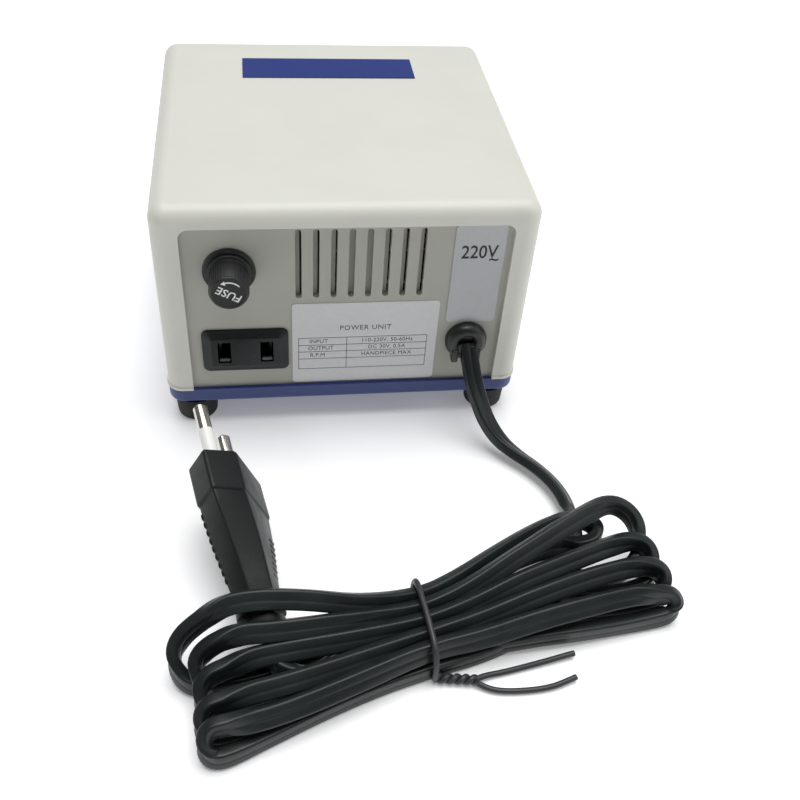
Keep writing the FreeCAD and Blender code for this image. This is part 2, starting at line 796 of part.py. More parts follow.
def make_fuse_holder():
    at = (fuse_x, panel_face, fuse_z)
    body = new_body("fuse_holder_body", at, TO_REAR)
    end = -C.fuse_barrel_length
    revolve(body, [
        (0, end),
        (C.fuse_barrel_radius, end),
        (C.fuse_barrel_radius, 0),
        (C.fuse_flange_radius, 0),
        (C.fuse_flange_radius, C.fuse_flange_height),
        (C.fuse_bore_radius, C.fuse_flange_height),
        (C.fuse_bore_radius, end + C.fuse_floor),
        (0, end + C.fuse_floor),
    ])
    tag = new_sketch(body, "XY_Plane", end)
    draw_box(tag, as_size(0), as_size(0), C.fuse_floor * 2, C.fuse_floor * 0.4)
    pad(body, tag, C.fuse_floor * 3, True)
    nut_place = (fuse_x, panel_back - C.fuse_nut_height, fuse_z)
    nut = hex_nut("fuse_holder_nut", C.fuse_nut_radius, C.fuse_barrel_radius + C.thread_gap,
                  C.fuse_nut_height, nut_place, TO_REAR)
    cap_seat = panel_face + C.fuse_flange_height + C.fuse_cap_gap
    cap = new_body("fuse_cap", (fuse_x, cap_seat, fuse_z), TO_REAR)
    edge_round = C.fuse_cap_radius / 12
    revolve(cap, [
        (C.fuse_bore_radius, 0),
        (C.fuse_cap_radius, 0),
        (C.fuse_cap_radius, C.fuse_cap_length),
        (0, C.fuse_cap_length),
        (0, C.fuse_cap_recess),
        (C.fuse_bore_radius, C.fuse_cap_recess),
    ])
    round_edges(cap, edge_round, lambda edge: level(edge, C.fuse_cap_length))
    carrier_radius = C.fuse_bore_radius - C.carrier_gap
    front = C.fuse_flange_height + C.fuse_cap_gap + C.fuse_cap_recess - C.carrier_gap
    back = end + C.fuse_floor + C.carrier_gap
    carrier = new_body("fuse_carrier", at, TO_REAR)
    revolve(carrier, [
        (C.carrier_bore, back),
        (carrier_radius, back),
        (carrier_radius, front),
        (0, front),
        (0, front - C.fuse_floor),
        (C.carrier_bore, front - C.fuse_floor),
    ])
    glass_end = front - C.fuse_floor - C.carrier_gap - C.ferrule_wall * 2
    glass = rod("fuse_glass", C.glass_radius, C.glass_length,
                (fuse_x, panel_face + glass_end - C.glass_length, fuse_z), TO_REAR)
    caps = []
    for index, (seat, way) in enumerate(((glass_end, 1), (glass_end - C.glass_length, -1))):
        ferrule = new_body("fuse_ferrule_%d" % (index + 1), at, TO_REAR)
        outer = C.glass_radius + C.ferrule_wall
        revolve(ferrule, [
            (0, seat),
            (C.glass_radius, seat),
            (C.glass_radius, seat - C.ferrule_length * way),
            (outer, seat - C.ferrule_length * way),
            (outer, seat + C.ferrule_wall * 2 * way),
            (0, seat + C.ferrule_wall * 2 * way),
        ])
        caps.append(ferrule)
    return [body, nut, cap, carrier, glass, group("fuse_end_caps", caps)]


# Two-slot outlet for the foot control

def make_outlet():
    at = (outlet_x, panel_face, C.outlet_z)
    body = new_body("foot_control_outlet", at, TO_REAR)
    back = new_sketch(body, "XY_Plane", -C.outlet_body_length)
    draw_box(back, as_size(0), as_size(0), C.outlet_body_width, C.outlet_body_height)
    pad(body, back, C.outlet_body_length)
    rim = new_sketch(body, "XY_Plane")
    draw_rounded_box(rim, as_size(0), as_size(0), C.outlet_width, C.outlet_height, C.outlet_corner)
    pad(body, rim, C.outlet_rim)
    wide = new_sketch(body, "XY_Plane", C.outlet_rim)
    draw_rounded_box(wide, as_size(0), as_size(0), C.outlet_width, C.outlet_height,
                     C.outlet_corner)
    narrow = new_sketch(body, "XY_Plane", C.outlet_proud)
    draw_rounded_box(narrow, as_size(0), as_size(0), C.outlet_width - C.outlet_bevel * 2,
                     C.outlet_height - C.outlet_bevel * 2, C.outlet_corner / 4)
    bevel = body.newObject("PartDesign::AdditiveLoft", "outlet_bevelled_front")
    bevel.Profile = wide
    bevel.Sections = [narrow]
    bevel.Ruled = True
    doc.recompute()
    slots = new_sketch(body, "XY_Plane", C.outlet_proud)
    for side in (-1, 1):
        draw_box(slots, C.slot_pitch / 2 * side, as_size(0), C.slot_width, C.slot_height)
    pocket(body, slots, C.slot_depth)
    contacts = []
    slot_end = panel_face + C.outlet_proud - C.slot_depth
    for index, side in enumerate((-1, 1)):
        inset = C.slot_width / 2 - C.blade_thickness * 0.9
        blade = block(
            "outlet_contact_%d" % (index + 1),
            (C.blade_thickness, C.slot_depth * 0.7, C.blade_width),
            (outlet_x + (C.slot_pitch / 2 + inset) * side - C.blade_thickness / 2, slot_end,
             C.outlet_z - C.blade_width / 2))
        contacts.append(blade)
    return [body, group("outlet_contacts", contacts)]


def make_grommet():
    """The cord's bush: a flange, a neck through the panel and a short nose that points down."""
    at = (grommet_x, panel_face, C.grommet_z)
    body = new_body("grommet_flange", at, TO_REAR)
    behind = -C.panel_thickness - C.panel_gap
    revolve(body, [
        (0, behind - C.grommet_flange),
        (C.grommet_neck + C.mounting_gap * 2, behind - C.grommet_flange),
        (C.grommet_neck + C.mounting_gap * 4, behind),
        (C.grommet_neck, behind),
        (C.grommet_neck, 0),
        (C.grommet_radius, 0),
        (C.grommet_radius, C.grommet_flange),
        (0, C.grommet_flange),
    ])
    round_edges(body, C.grommet_flange / 3, lambda edge: level(edge, C.grommet_flange))
    nose = rod("grommet_nose", C.grommet_nose, nose_length,
               (nose_start.x, nose_start.y, nose_start.z))
    nose.Placement = FreeCAD.Placement(nose_start, FreeCAD.Rotation(V(0, 0, 1), exit_way))
    return joined("cord_grommet", [body, nose])


# Speed knob with its potentiometer: the axis runs along -Y through the front panel

def make_speed_control():
    at = (C.knob_x, -panel_face, knob_z)
    front = C.knob_front - panel_face
    shaft_top = front - C.knob_gap * 4
    skirt_top = C.knob_gap * 5
    knob = new_body("speed_knob", at, TO_FRONT)
    well_radius = C.pot_nut_radius + C.knob_gap * 2
    well_top = C.pot_bush_length - C.panel_thickness + C.knob_gap
    cap_radius = C.knob_radius * 0.72
    cap_height = C.knob_gap
    revolve(knob, [
        (well_radius, C.knob_gap),
        (C.knob_skirt, C.knob_gap),
        (C.knob_skirt, skirt_top - C.knob_gap),
        (C.knob_radius, skirt_top),
        (C.knob_radius - C.knob_gap, front),
        (cap_radius, front),
        (cap_radius, front - cap_height),
        (0, front - cap_height),
        (0, shaft_top),
        (C.pot_shaft_radius, shaft_top),
        (C.pot_shaft_radius, well_top),
        (well_radius, well_top),
    ])
    flute = new_sketch(knob, "XY_Plane", front)
    draw_circle(flute, C.knob_radius + C.knob_gap * 0.8, as_size(0), C.knob_gap * 2)
    first = pocket(knob, flute, front - skirt_top - C.knob_gap)
    flutes = knob.newObject("PartDesign::PolarPattern", "knob_flute_ring")
    flutes.Originals = [first]
    flutes.Axis = (flute, ["N_Axis"])
    flutes.Angle = 360.0
    flutes.Occurrences = int(C.knob_flutes.number)
    bind(flutes, "Occurrences", C.knob_flutes)
    knob.Tip = flutes
    doc.recompute()
    cap_place = (C.knob_x, -panel_face - front + cap_height, knob_z)
    cap = rod("knob_cap", cap_radius, cap_height, cap_place, TO_FRONT)
    behind = -C.panel_thickness
    bush_top = C.pot_bush_length - C.panel_thickness
    bore = C.pot_shaft_radius + C.running_gap
    shaft_end = behind - C.pot_length + C.panel_thickness
    can = new_body("potentiometer_body", at, TO_FRONT)
    revolve(can, [
        (0, behind - C.pot_length),
        (C.pot_radius, behind - C.pot_length),
        (C.pot_radius, behind),
        (C.pot_bush_radius, behind),
        (C.pot_bush_radius, bush_top),
        (bore, bush_top),
        (bore, shaft_end),
        (0, shaft_end),
    ])
    length = shaft_top - shaft_end - C.running_gap
    shaft = rod("potentiometer_shaft", C.pot_shaft_radius, length,
                (C.knob_x, -panel_face - shaft_end - C.running_gap, knob_z), TO_FRONT)
    nut = hex_nut("potentiometer_nut", C.pot_nut_radius, C.pot_bush_radius + C.thread_gap,
                  C.pot_nut_height, at, TO_FRONT)
    return [knob, cap, can, shaft, nut]


def make_switch(name, height, side):
    """A rocker switch whose rocker turns about an upright pin behind the panel's face."""
    frame = new_body(name + "_switch_frame", (switch_x, -panel_face, height), TO_FRONT)
    back = new_sketch(frame, "XY_Plane", -C.switch_body_length)
    draw_box(back, as_size(0), as_size(0), C.switch_body_width, C.switch_body_height)
    pad(frame, back, C.switch_body_length)
    bezel = new_sketch(frame, "XY_Plane")
    draw_rounded_box(bezel, as_size(0), as_size(0), C.bezel_width, C.bezel_height,
                     C.bezel_proud / 2)
    pad(frame, bezel, C.bezel_proud)
    round_edges(frame, C.bezel_proud / 4, lambda edge: level(edge, C.bezel_proud))
    window = new_sketch(frame, "XY_Plane", C.bezel_proud)
    draw_box(window, as_size(0), as_size(0), (C.rocker_radius + C.rocker_gap) * 2,
             C.rocker_height + C.rocker_gap * 2)
    pocket(frame, window, C.bezel_proud + C.rocker_pivot + C.rocker_radius * 0.86)
    rocker = new_body(name + "_switch_rocker",
                      (switch_x, -panel_face + C.rocker_pivot, height - C.rocker_height / 2),
                      FreeCAD.Rotation(V(0, 0, 1), float(C.rocker_tilt) * side))
    disc = new_sketch(rocker, "XY_Plane")
    draw_circle(disc, as_size(0), as_size(0), C.rocker_radius)
    pad(rocker, disc, C.rocker_height)
    far = C.rocker_radius * 1.3
    face = new_sketch(rocker, "XY_Plane")
    draw_loop(face, [(-far, -far), (far, -far), (far, -C.rocker_radius * 0.2),
                     (0, -C.rocker_radius * 0.1), (-far, -C.rocker_radius * 0.2)])
    pocket(rocker, face, C.rocker_height, True)
    rear = new_sketch(rocker, "XY_Plane")
    draw_loop(rear, [(-far, C.rocker_radius / 2), (far, C.rocker_radius / 2), (far, far),
                     (-far, far)])
    pocket(rocker, rear, C.rocker_height, True)
    round_edges(rocker, C.rocker_gap, lambda edge: along(edge, V(0, 0, 1))
                and edge.CenterOfMass.y < 0 and abs(edge.CenterOfMass.x) > 1)
    return [frame, rocker]


def make_handpiece_socket():
    at = (socket_x, -panel_face, C.socket_z)
    inner = C.socket_shell_radius - C.socket_shell_wall
    behind = -C.panel_thickness
    front = C.socket_ring_height + C.mounting_gap
    shell = new_body("handpiece_socket", at, TO_FRONT)
    revolve(shell, [
        (inner, -C.socket_length),
        (C.socket_shell_radius, -C.socket_length),
        (C.socket_shell_radius, behind - C.socket_shell_wall * 1.5),
        (C.socket_ring_radius, behind - C.socket_shell_wall * 1.5),
        (C.socket_ring_radius, behind),
        (C.socket_shell_radius, behind),
        (C.socket_shell_radius, front),
        (inner, front),
    ])
    nut = new_body("handpiece_socket_nut", at, TO_FRONT)
    revolve(nut, [
        (C.socket_shell_radius + C.thread_gap, 0),
        (C.socket_ring_radius, 0),
        (C.socket_ring_radius, C.socket_ring_height * 0.7),
        (C.socket_ring_radius - C.socket_ring_height * 0.3, C.socket_ring_height),
        (C.socket_shell_radius + C.thread_gap, C.socket_ring_height),
    ])
    insert = new_body("socket_insert", at, TO_FRONT)
    disc = new_sketch(insert, "XY_Plane", -C.socket_length + C.socket_shell_wall)
    draw_circle(disc, as_size(0), as_size(0), inner - C.insert_gap)
    holes = []
    count = int(C.socket_pins.number)
    for index in range(count):
        angle = math.radians(-90 - 120 + 240.0 / (count - 1) * index)
        holes.append((C.socket_pin_circle * math.cos(angle), C.socket_pin_circle * math.sin(angle)))
    for x, y in holes:
        draw_circle(disc, x, y, C.socket_pin_radius + C.mounting_gap)
    depth = C.socket_length - C.socket_shell_wall * 2
    pad(insert, disc, depth)
    key = new_sketch(insert, "XY_Plane", -C.socket_shell_wall)
    draw_box(key, as_size(0), inner, C.socket_shell_wall * 2.4, C.socket_shell_wall * 2)
    pocket(insert, key, C.socket_shell_wall * 6)
    pins = []
    for index, (x, y) in enumerate(holes):
        pins.append(rod("socket_pin_%d" % (index + 1), C.socket_pin_radius, C.socket_length,
                        (socket_x + x, -panel_face + C.socket_length + C.socket_shell_wall * 2,
                         C.socket_z + y), TO_FRONT))
    return [shell, nut, insert, group("socket_contacts", pins)]


def make_breaker_and_lamp():
    at = (C.breaker_x, -panel_face, C.breaker_z)
    behind = -C.panel_thickness
    front = C.breaker_nut_height + C.mounting_gap * 2
    bore = C.button_radius + C.rocker_gap
    floor = behind - C.button_travel * 2
    body = new_body("breaker_body", at, TO_FRONT)
    revolve(body, [
        (0, behind - C.breaker_length),
        (C.breaker_nut_radius, behind - C.breaker_length),
        (C.breaker_nut_radius, behind),
        (C.breaker_radius, behind),
        (C.breaker_radius, front),
        (bore, front),
        (bore, floor),
        (0, floor),
    ])
    nut = hex_nut("breaker_nut", C.breaker_nut_radius, C.breaker_radius + C.thread_gap,
                  C.breaker_nut_height, at, TO_FRONT)
    button = new_body("breaker_button", at, TO_FRONT)
    top = front + C.button_proud
    revolve(button, [
        (0, floor + C.button_travel + C.rocker_gap),
        (C.button_radius, floor + C.button_travel + C.rocker_gap),
        (C.button_radius, top),
        (0, top),
    ])
    round_edges(button, C.button_radius / 6, lambda edge: level(edge, top))
    lamp = new_body("power_lamp", (lamp_x, -panel_face, lamp_z), TO_FRONT)
    revolve(lamp, [
        (0, -C.lamp_length),
        (C.lamp_radius, -C.lamp_length),
        (C.lamp_radius, 0),
        (C.lamp_flange, 0),
        (C.lamp_flange, C.lamp_flange / 4),
        (C.lamp_radius, C.lamp_flange / 4),
        (C.lamp_radius, C.lamp_radius * 0.7),
        (C.lamp_radius * 0.6, C.lamp_radius),
        (0, C.lamp_radius),
    ])
    return [body, nut, button, lamp]


# Transformer on the tray

core_low = floor_top
strap_foot_top = floor_top + C.bracket_sheet


def make_transformer():
    core = new_body("transformer_core", (core_x, C.core_y - C.core_stack / 2, core_low), TO_REAR)
    plate = new_sketch(core, "XY_Plane")
    middle = -C.core_height / 2
    draw_box(plate, as_size(0), middle, C.core_width, C.core_height)
    for side in (-1, 1):
        draw_box(plate, C.core_limb * 1.5 * side, middle, C.core_limb,
                 C.core_height - C.core_limb * 2)
    pad(core, plate, C.core_stack)
    limb_x = C.core_limb * 2 + C.coil_gap * 2
    limb_y = C.core_stack + C.coil_gap * 2
    tube_x, tube_y = limb_x + C.bobbin_wall * 2, limb_y + C.bobbin_wall * 2
    flange_x = C.core_limb * 4 - C.coil_gap * 2
    flange_y = C.core_stack + C.coil_overhang * 2
    low = core_low + C.core_limb + C.coil_gap
    tall = C.core_height - C.core_limb * 2 - C.coil_gap * 2
    share = (tall - C.bobbin_wall * 2 - C.bobbin_split) / 2
    centre = (core_x, C.core_y)

    def boxed(label, width, depth, height, bottom):
        return centred_block(label, (width, depth, height), (centre[0], centre[1], bottom))

    levels = (
        (low, C.bobbin_wall),
        (low + C.bobbin_wall + share, C.bobbin_split),
        (low + tall - C.bobbin_wall, C.bobbin_wall),
    )
    plates = [boxed("bobbin_tube", tube_x, tube_y, tall, low)]
    for index, (bottom, thickness) in enumerate(levels):
        plates.append(boxed("bobbin_flange_%d" % index, flange_x, flange_y, thickness, bottom))
    bobbin = cut("transformer_bobbin", joined("bobbin_solid", plates),
                 boxed("bobbin_hole", limb_x, limb_y, tall * 1.2, low - tall * 0.1))
    coils = []
    for label, bottom in (("primary_winding", low + C.bobbin_wall),
                          ("secondary_winding", low + C.bobbin_wall + share + C.bobbin_split)):
        inset = C.bobbin_wall
        outer = boxed(label + "_outer", flange_x - inset, flange_y - inset, share, bottom)
        inner = boxed(label + "_inner", tube_x, tube_y, share, bottom)
        coils.append(cut(label, outer, inner))
    strap = new_body("transformer_bracket", (core_x, C.core_y - C.core_stack / 3, 0), TO_REAR)
    profile = new_sketch(strap, "XY_Plane")
    inner_half = C.core_width / 2
    outer_half = inner_half + C.bracket_sheet
    toe = bracket_toe
    top = core_low + C.core_height
    draw_loop(profile, [
        (-toe, -floor_top), (-inner_half, -floor_top), (-inner_half, -top), (inner_half, -top),
        (inner_half, -floor_top), (toe, -floor_top), (toe, -strap_foot_top),
        (outer_half, -strap_foot_top), (outer_half, -top - C.bracket_sheet),
        (-outer_half, -top - C.bracket_sheet), (-outer_half, -strap_foot_top),
        (-toe, -strap_foot_top),
    ])
    pad(strap, profile, C.core_stack * 2 / 3)
    holes = new_sketch(strap, "XZ_Plane", 0)
    for side in (-1, 1):
        draw_circle(holes, bracket_screw_x * side, C.core_stack / 3, through_radius)
    pocket(strap, holes, strap_foot_top + C.bracket_sheet, True)
    screws = []
    for index, side in enumerate((-1, 1)):
        screws.append(make_screw(
            "transformer_screw_%d" % (index + 1),
            (core_x + bracket_screw_x * side, C.core_y, strap_foot_top), C.screw_radius,
            C.screw_head_radius, C.screw_head_height, C.bracket_sheet + C.tray_floor,
            FreeCAD.Rotation(V(1, 0, 0), 180)))
    return [core, bobbin] + coils + [strap, group("transformer_screws", screws)]


# Circuit board on four pillars

board_low = floor_top + C.standoff_height
board_top = board_low + C.board_thickness


def board_corners():
    reach_x = C.board_width / 2 - C.board_inset
    reach_y = C.board_depth / 2 - C.board_inset
    return [(board_x + reach_x * sx, C.board_y + reach_y * sy) for sx, sy in FOOT_SIGNS]


def make_board():
    hole = C.board_screw_radius + C.screw_hole_gap
    board = new_body("circuit_board")
    outline = new_sketch(board, "XY_Plane", board_low)
    draw_box(outline, board_x, C.board_y, C.board_width, C.board_depth)
    for x, y in board_corners():
        draw_circle(outline, x, y, hole)
    pad(board, outline, C.board_thickness)
    pillars = []
    screws = []
    for index, (x, y) in enumerate(board_corners()):
        number = index + 1
        pillars.append(ring("pillar_%d" % number, C.standoff_radius,
                            C.board_screw_radius + C.thread_gap, C.standoff_height,
                            (x, y, floor_top)))
        screws.append(make_screw(
            "board_screw_%d" % number, (x, y, board_top), C.board_screw_radius,
            C.board_screw_radius * 1.9, C.board_screw_radius * 1.3,
            C.board_thickness + C.standoff_height * 0.7, FreeCAD.Rotation(V(1, 0, 0), 180)))
    left = board_x - C.board_width / 2
    sink_x = left + C.board_inset
    sink_y = C.board_y
    sink = new_body("heat_sink", (sink_x, sink_y, board_top))
    fins = new_sketch(sink, "XY_Plane")
    half = C.sink_length / 2
    thick = C.sink_thickness / 2
    draw_loop(fins, [
        (-thick * 2, -half), (thick, -half), (thick, half), (-thick * 2, half),
        (-thick * 2, half - thick), (-thick, half - thick), (-thick, thick - half),
        (-thick * 2, thick - half),
    ])
    pad(sink, fins, C.sink_height)
    chip_x = C.sink_thickness * 2.2
    chip_y = C.sink_length / 2
    transistor = centred_block(
        "power_transistor", (chip_x, chip_y, C.sink_height * 0.8),
        (sink_x + thick + chip_x / 2, sink_y - C.board_inset / 2, board_top))
    capacitor = new_body("smoothing_capacitor",
                         (board_x + C.board_width / 2 - C.capacitor_edge_gap - C.capacitor_radius,
                          C.board_y - C.board_depth / 4, board_top))
    groove = C.capacitor_radius * 0.92
    revolve(capacitor, [
        (0, 0),
        (C.capacitor_radius, 0),
        (C.capacitor_radius, C.capacitor_radius * 0.4),
        (groove, C.capacitor_radius * 0.5),
        (C.capacitor_radius, C.capacitor_radius * 0.6),
        (C.capacitor_radius, C.capacitor_height - C.capacitor_radius * 0.1),
        (groove, C.capacitor_height),
        (0, C.capacitor_height),
    ])
    relay = centred_block("relay", (C.relay_width, C.relay_length, C.relay_height),
                          (board_x,
                           C.board_y + C.board_depth / 2 - C.relay_length / 2 - C.thread_gap * 10,
                           board_top))
    rectifier = centred_block("rectifier_bridge",
                              (C.sink_thickness * 2.2, C.board_depth / 5, C.relay_height),
                              (board_x - C.board_inset * 1.25, C.board_y - C.board_depth * 0.4,
                               board_top))
    return [board, group("board_standoffs", pillars), group("board_screws", screws), sink,
            transistor, capacitor, relay, rectifier]


# Mains plug: local +Z points along the pins, local X across both pins

plug_face = V(37.2, 95.5, 18.35)
plug_way = V(0.203, -0.962, 0.180)
plug_across = V(0.295, 0.236, 0.926)


def plug_turn():
    z = V(plug_way)
    z.normalize()
    x = plug_across - z * plug_across.dot(z)
    x.normalize()
    y = z.cross(x)
    turn = FreeCAD.Matrix(x.x, y.x, z.x, 0, x.y, y.y, z.y, 0, x.z, y.z, z.z, 0, 0, 0, 0, 1)
    return FreeCAD.Placement(turn).Rotation


def hexagon(length, shoulder, thickness):
    return [(length, as_size(0)), (shoulder, thickness), (-shoulder, thickness),
            (-length, as_size(0)), (-shoulder, -thickness), (shoulder, -thickness)]


def make_plug():
    turn = plug_turn()
    at = (plug_face.x, plug_face.y, plug_face.z)
    body = new_body("plug_body", at, turn)
    head = new_sketch(body, "XY_Plane", -C.plug_head)
    draw_loop(head, hexagon(C.plug_half_length, C.plug_half_shoulder, C.plug_half_thickness))
    pad(body, head, C.plug_head)
    round_edges(body, C.plug_round, lambda edge: along(edge, V(0, 0, 1)))
    step = C.plug_step
    levels = (
        (0, 1.0, 1.0),
        (0.32, 0.68, 0.93),
        (0.62, 0.40, 0.82),
        (1.0, 0.27, 0.66),
    )
    long_start = C.plug_half_length - step * 1.6
    thick_start = C.plug_half_thickness - step * 0.6
    sections = []
    for share, long_part, thick_part in levels:
        section = new_sketch(body, "XY_Plane", -C.plug_head - C.plug_body_length * share)
        length = long_start * long_part
        draw_loop(section, hexagon(length, length * 0.6, thick_start * thick_part))
        sections.append(section)
    taper = body.newObject("PartDesign::AdditiveLoft", "plug_taper")
    taper.Profile = sections[0]
    taper.Sections = sections[1:]
    taper.Ruled = True
    doc.recompute()
    holes = new_sketch(body, "XY_Plane")
    for side in (-1, 1):
        draw_circle(holes, C.pin_pitch / 2 * side, as_size(0), C.pin_radius + C.thread_gap)
    pocket(body, holes, C.pin_root)
    pins = []
    sleeves = []
    sleeve_end = C.pin_length - C.pin_tip
    for index, side in enumerate((-1, 1)):
        centre = V(*at) + turn.multVec(V(float(C.pin_pitch) / 2 * side, 0, 0))
        pin = new_body("plug_pin_%d" % (index + 1), (centre.x, centre.y, centre.z), turn)
        thin = C.pin_radius - C.sleeve_wall
        revolve(pin, [
            (0, -C.pin_root),
            (thin, -C.pin_root),
            (thin, sleeve_end),
            (C.pin_radius, sleeve_end),
            (C.pin_radius, C.pin_length - C.pin_radius / 2),
            (C.pin_radius / 2, C.pin_length),
            (0, C.pin_length),
        ])
        pins.append(pin)
        sleeve = new_body("plug_sleeve_%d" % (index + 1), (centre.x, centre.y, centre.z), turn)
        revolve(sleeve, [
            (thin, -C.pin_root),
            (C.pin_radius, -C.pin_root),
            (C.pin_radius, sleeve_end),
            (thin, sleeve_end),
        ])
        sleeves.append(sleeve)
    return [body, group("plug_pins", pins), group("plug_pin_sleeves", sleeves)]


# Mains cord: it leaves the bush downward, runs over the table and under its own hank, is
# laid in five flat loops that are drawn together at a waist, and ends at the plug. Each point
# is the middle of the cord, written in millimetres.


LEAD = [(-39.1, 61.8, 20.9), (-40.9, 65.6, 14.9), (-43.4, 69.8, 9.3), (-47.2, 74.4, 5.0),
        (-51.7, 78.9, 2.8), (-56.3, 83.8, 2.2), (-60.0, 89.6, 2.1), (-62.2, 95.6, 2.1),
        (-62.9, 101.0, 2.1)]

nose_start = V(float(grommet_x) - 0.7, float(panel_face) + 1.5, float(C.grommet_z) - 0.9)
exit_way = V(-1.4, 6.6, -8.7)
nose_length = as_size(3.2)

# Ends of the loops: furthest X, Y of the upper and the lower limb, their heights, and how
# late the cord comes down between them
LEFT = [
    (42.4, 167.2, 174.0, 10.6, 2.1, 1.5),
    (43.2, 160.8, 168.4, 10.8, 2.1, 1.5),
    (44.2, 151.6, 163.3, 12.4, 2.1, 1.6),
    (45.8, 142.6, 158.2, 12.6, 2.1, 1.5),
    (50.5, 136.0, 152.0, 11.8, 2.1, 1.2),
]
RIGHT = [
    (-84.0, 138.4, 144.6, 10.6, 2.1, 1.0),
    (-83.0, 129.8, 139.2, 11.6, 2.1, 1.0),
    (-81.8, 121.8, 133.8, 11.4, 2.1, 0.9),
    (-80.6, 111.4, 128.8, 15.2, 2.1, 0.6),
    (-70.0, 108.4, 120.4, 6.9, 6.9, 1.0),
]
TOP = [
    [(31.0, 165.4, 8.8), (20.0, 162.2, 6.9), (4.0, 156.6, 6.9), (-13.0, 149.1, 7.9),
     (-27.0, 148.2, 8.4), (-42.0, 144.6, 11.2), (-58.0, 141.4, 11.4), (-70.0, 139.0, 11.0)],
    [(31.0, 158.8, 11.4), (20.0, 156.4, 11.4), (4.0, 151.4, 10.4), (-13.0, 144.6, 7.9),
     (-27.0, 143.4, 9.2), (-42.0, 138.2, 11.4), (-56.0, 134.0, 11.8), (-69.0, 130.8, 11.4)],
    [(31.0, 149.6, 13.0), (20.0, 147.6, 13.2), (4.0, 146.2, 12.4), (-13.0, 142.4, 11.8),
     (-27.0, 138.6, 11.8), (-40.0, 133.2, 12.0), (-53.0, 128.4, 12.0), (-66.0, 123.8, 12.0)],
    [(33.0, 137.2, 17.2), (25.0, 136.2, 18.0), (14.0, 138.8, 15.2), (2.0, 140.6, 12.4),
     (-13.0, 137.8, 11.8), (-26.0, 134.2, 12.4), (-38.0, 127.8, 13.8), (-50.0, 121.4, 15.4),
     (-62.0, 114.8, 16.2)],
    [(37.0, 131.7, 18.6), (28.0, 128.5, 21.2), (16.0, 132.2, 17.2), (3.0, 135.5, 12.6),
     (-13.0, 133.2, 11.8), (-24.0, 128.6, 11.0), (-36.0, 121.0, 9.4), (-48.0, 114.2, 7.8),
     (-57.0, 110.2, 7.0)],
]
# b0 is laid first from the lead; b1..b4 follow each right end; the last goes to the plug
FIRST = [(-62.9, 105.5, 2.1), (-62.9, 109.7, 2.1), (-61.4, 116.5, 2.1), (-58.6, 123.2, 2.1),
         (-54.6, 130.0, 2.1), (-49.0, 136.6, 2.1), (-41.0, 143.0, 2.1), (-29.0, 148.2, 2.1),
         (-13.0, 151.3, 3.8), (0.0, 157.7, 2.1), (14.0, 165.3, 2.1), (28.0, 171.2, 2.1)]
UNDER = [
    [(-66.0, 143.8, 3.6), (-54.0, 142.6, 6.0), (-42.0, 142.4, 6.9), (-30.0, 144.4, 5.2),
     (-13.0, 146.8, 3.8), (0.0, 152.7, 2.1), (14.0, 160.2, 2.1), (28.0, 166.0, 2.1)],
    [(-66.0, 138.8, 3.6), (-53.0, 137.7, 6.7), (-41.0, 137.8, 6.2), (-28.0, 140.0, 3.6),
     (-13.0, 142.3, 3.8), (0.0, 147.8, 2.1), (14.0, 155.2, 2.1), (28.0, 160.9, 2.1)],
    [(-66.0, 133.6, 4.4), (-54.5, 132.8, 6.9), (-42.0, 132.9, 5.0), (-28.0, 135.2, 2.8),
     (-13.0, 137.8, 3.8), (0.0, 143.0, 2.1), (14.0, 150.1, 2.1), (28.0, 155.8, 2.1)],
    [(-65.0, 128.6, 4.6), (-56.5, 127.9, 6.9), (-44.0, 128.4, 3.8), (-30.0, 130.2, 2.1),
     (-13.0, 133.3, 3.8), (0.0, 138.2, 2.1), (14.0, 144.8, 2.1), (28.0, 149.9, 2.1)],
]
LAST = [(-58.0, 120.6, 6.9), (-48.0, 122.4, 6.9), (-38.0, 125.4, 6.9), (-28.0, 130.4, 7.1),
        (-20.0, 133.8, 7.5), (-13.0, 135.5, 7.9), (-4.0, 140.2, 7.2), (1.8, 144.9, 6.9),
        (5.6, 147.8, 6.7), (9.6, 150.2, 6.8)]

TAIL = [(9.6, 150.2, 6.8), (14.0, 152.84, 6.91), (18.6, 153.9, 7.1), (22.8, 152.4, 7.7),
        (25.8, 149.53, 8.24), (27.3, 142.42, 9.57)]


def loop_end(end, side):
    """Points round one end of a loop, from its upper limb to its lower one."""
    x_end, y_top, y_low, z_top, z_low, haste = end
    across = (y_low - y_top) / 2
    out = max(across, 4.6)
    points = []
    for step in range(7):
        angle = math.pi * step / 6
        share = ((1 - math.cos(angle)) / 2) ** haste
        points.append(V(
            x_end - side * out * (1 - math.sin(angle)),
            (y_top + y_low) / 2 - across * math.cos(angle),
            z_top + (z_low - z_top) * share))
    return points


def hank_route():
    points = [V(*point) for point in FIRST]
    for index in range(len(LEFT)):
        points += loop_end(LEFT[index], 1)[::-1]
        points += [V(*point) for point in TOP[index]]
        points += loop_end(RIGHT[index], -1)
        if index < len(UNDER):
            points += [V(*point) for point in UNDER[index]]
    return points + [V(*point) for point in LAST]


def unit(vector):
    return vector * (1.0 / vector.Length)


def route_ways(points):
    """The direction of the cord at each point, the nearer neighbour counting for more."""
    ways = [unit(points[1] - points[0])]
    for before, here, after in zip(points, points[1:], points[2:]):
        a, b = here - before, after - here
        way = unit(a) * b.Length + unit(b) * a.Length
        slopes = [abs(side.z) / math.hypot(side.x, side.y) for side in (a, b)]
        steepest = 1.8 * min(slopes) * math.hypot(way.x, way.y)
        if a.z * b.z <= 0:
            way.z = 0
        elif abs(way.z) > steepest:
            way.z = math.copysign(steepest, way.z)
        ways.append(unit(way))
    ways.append(unit(points[-1] - points[-2]))
    ways[1], ways[-2] = ways[0], ways[-1]
    return ways


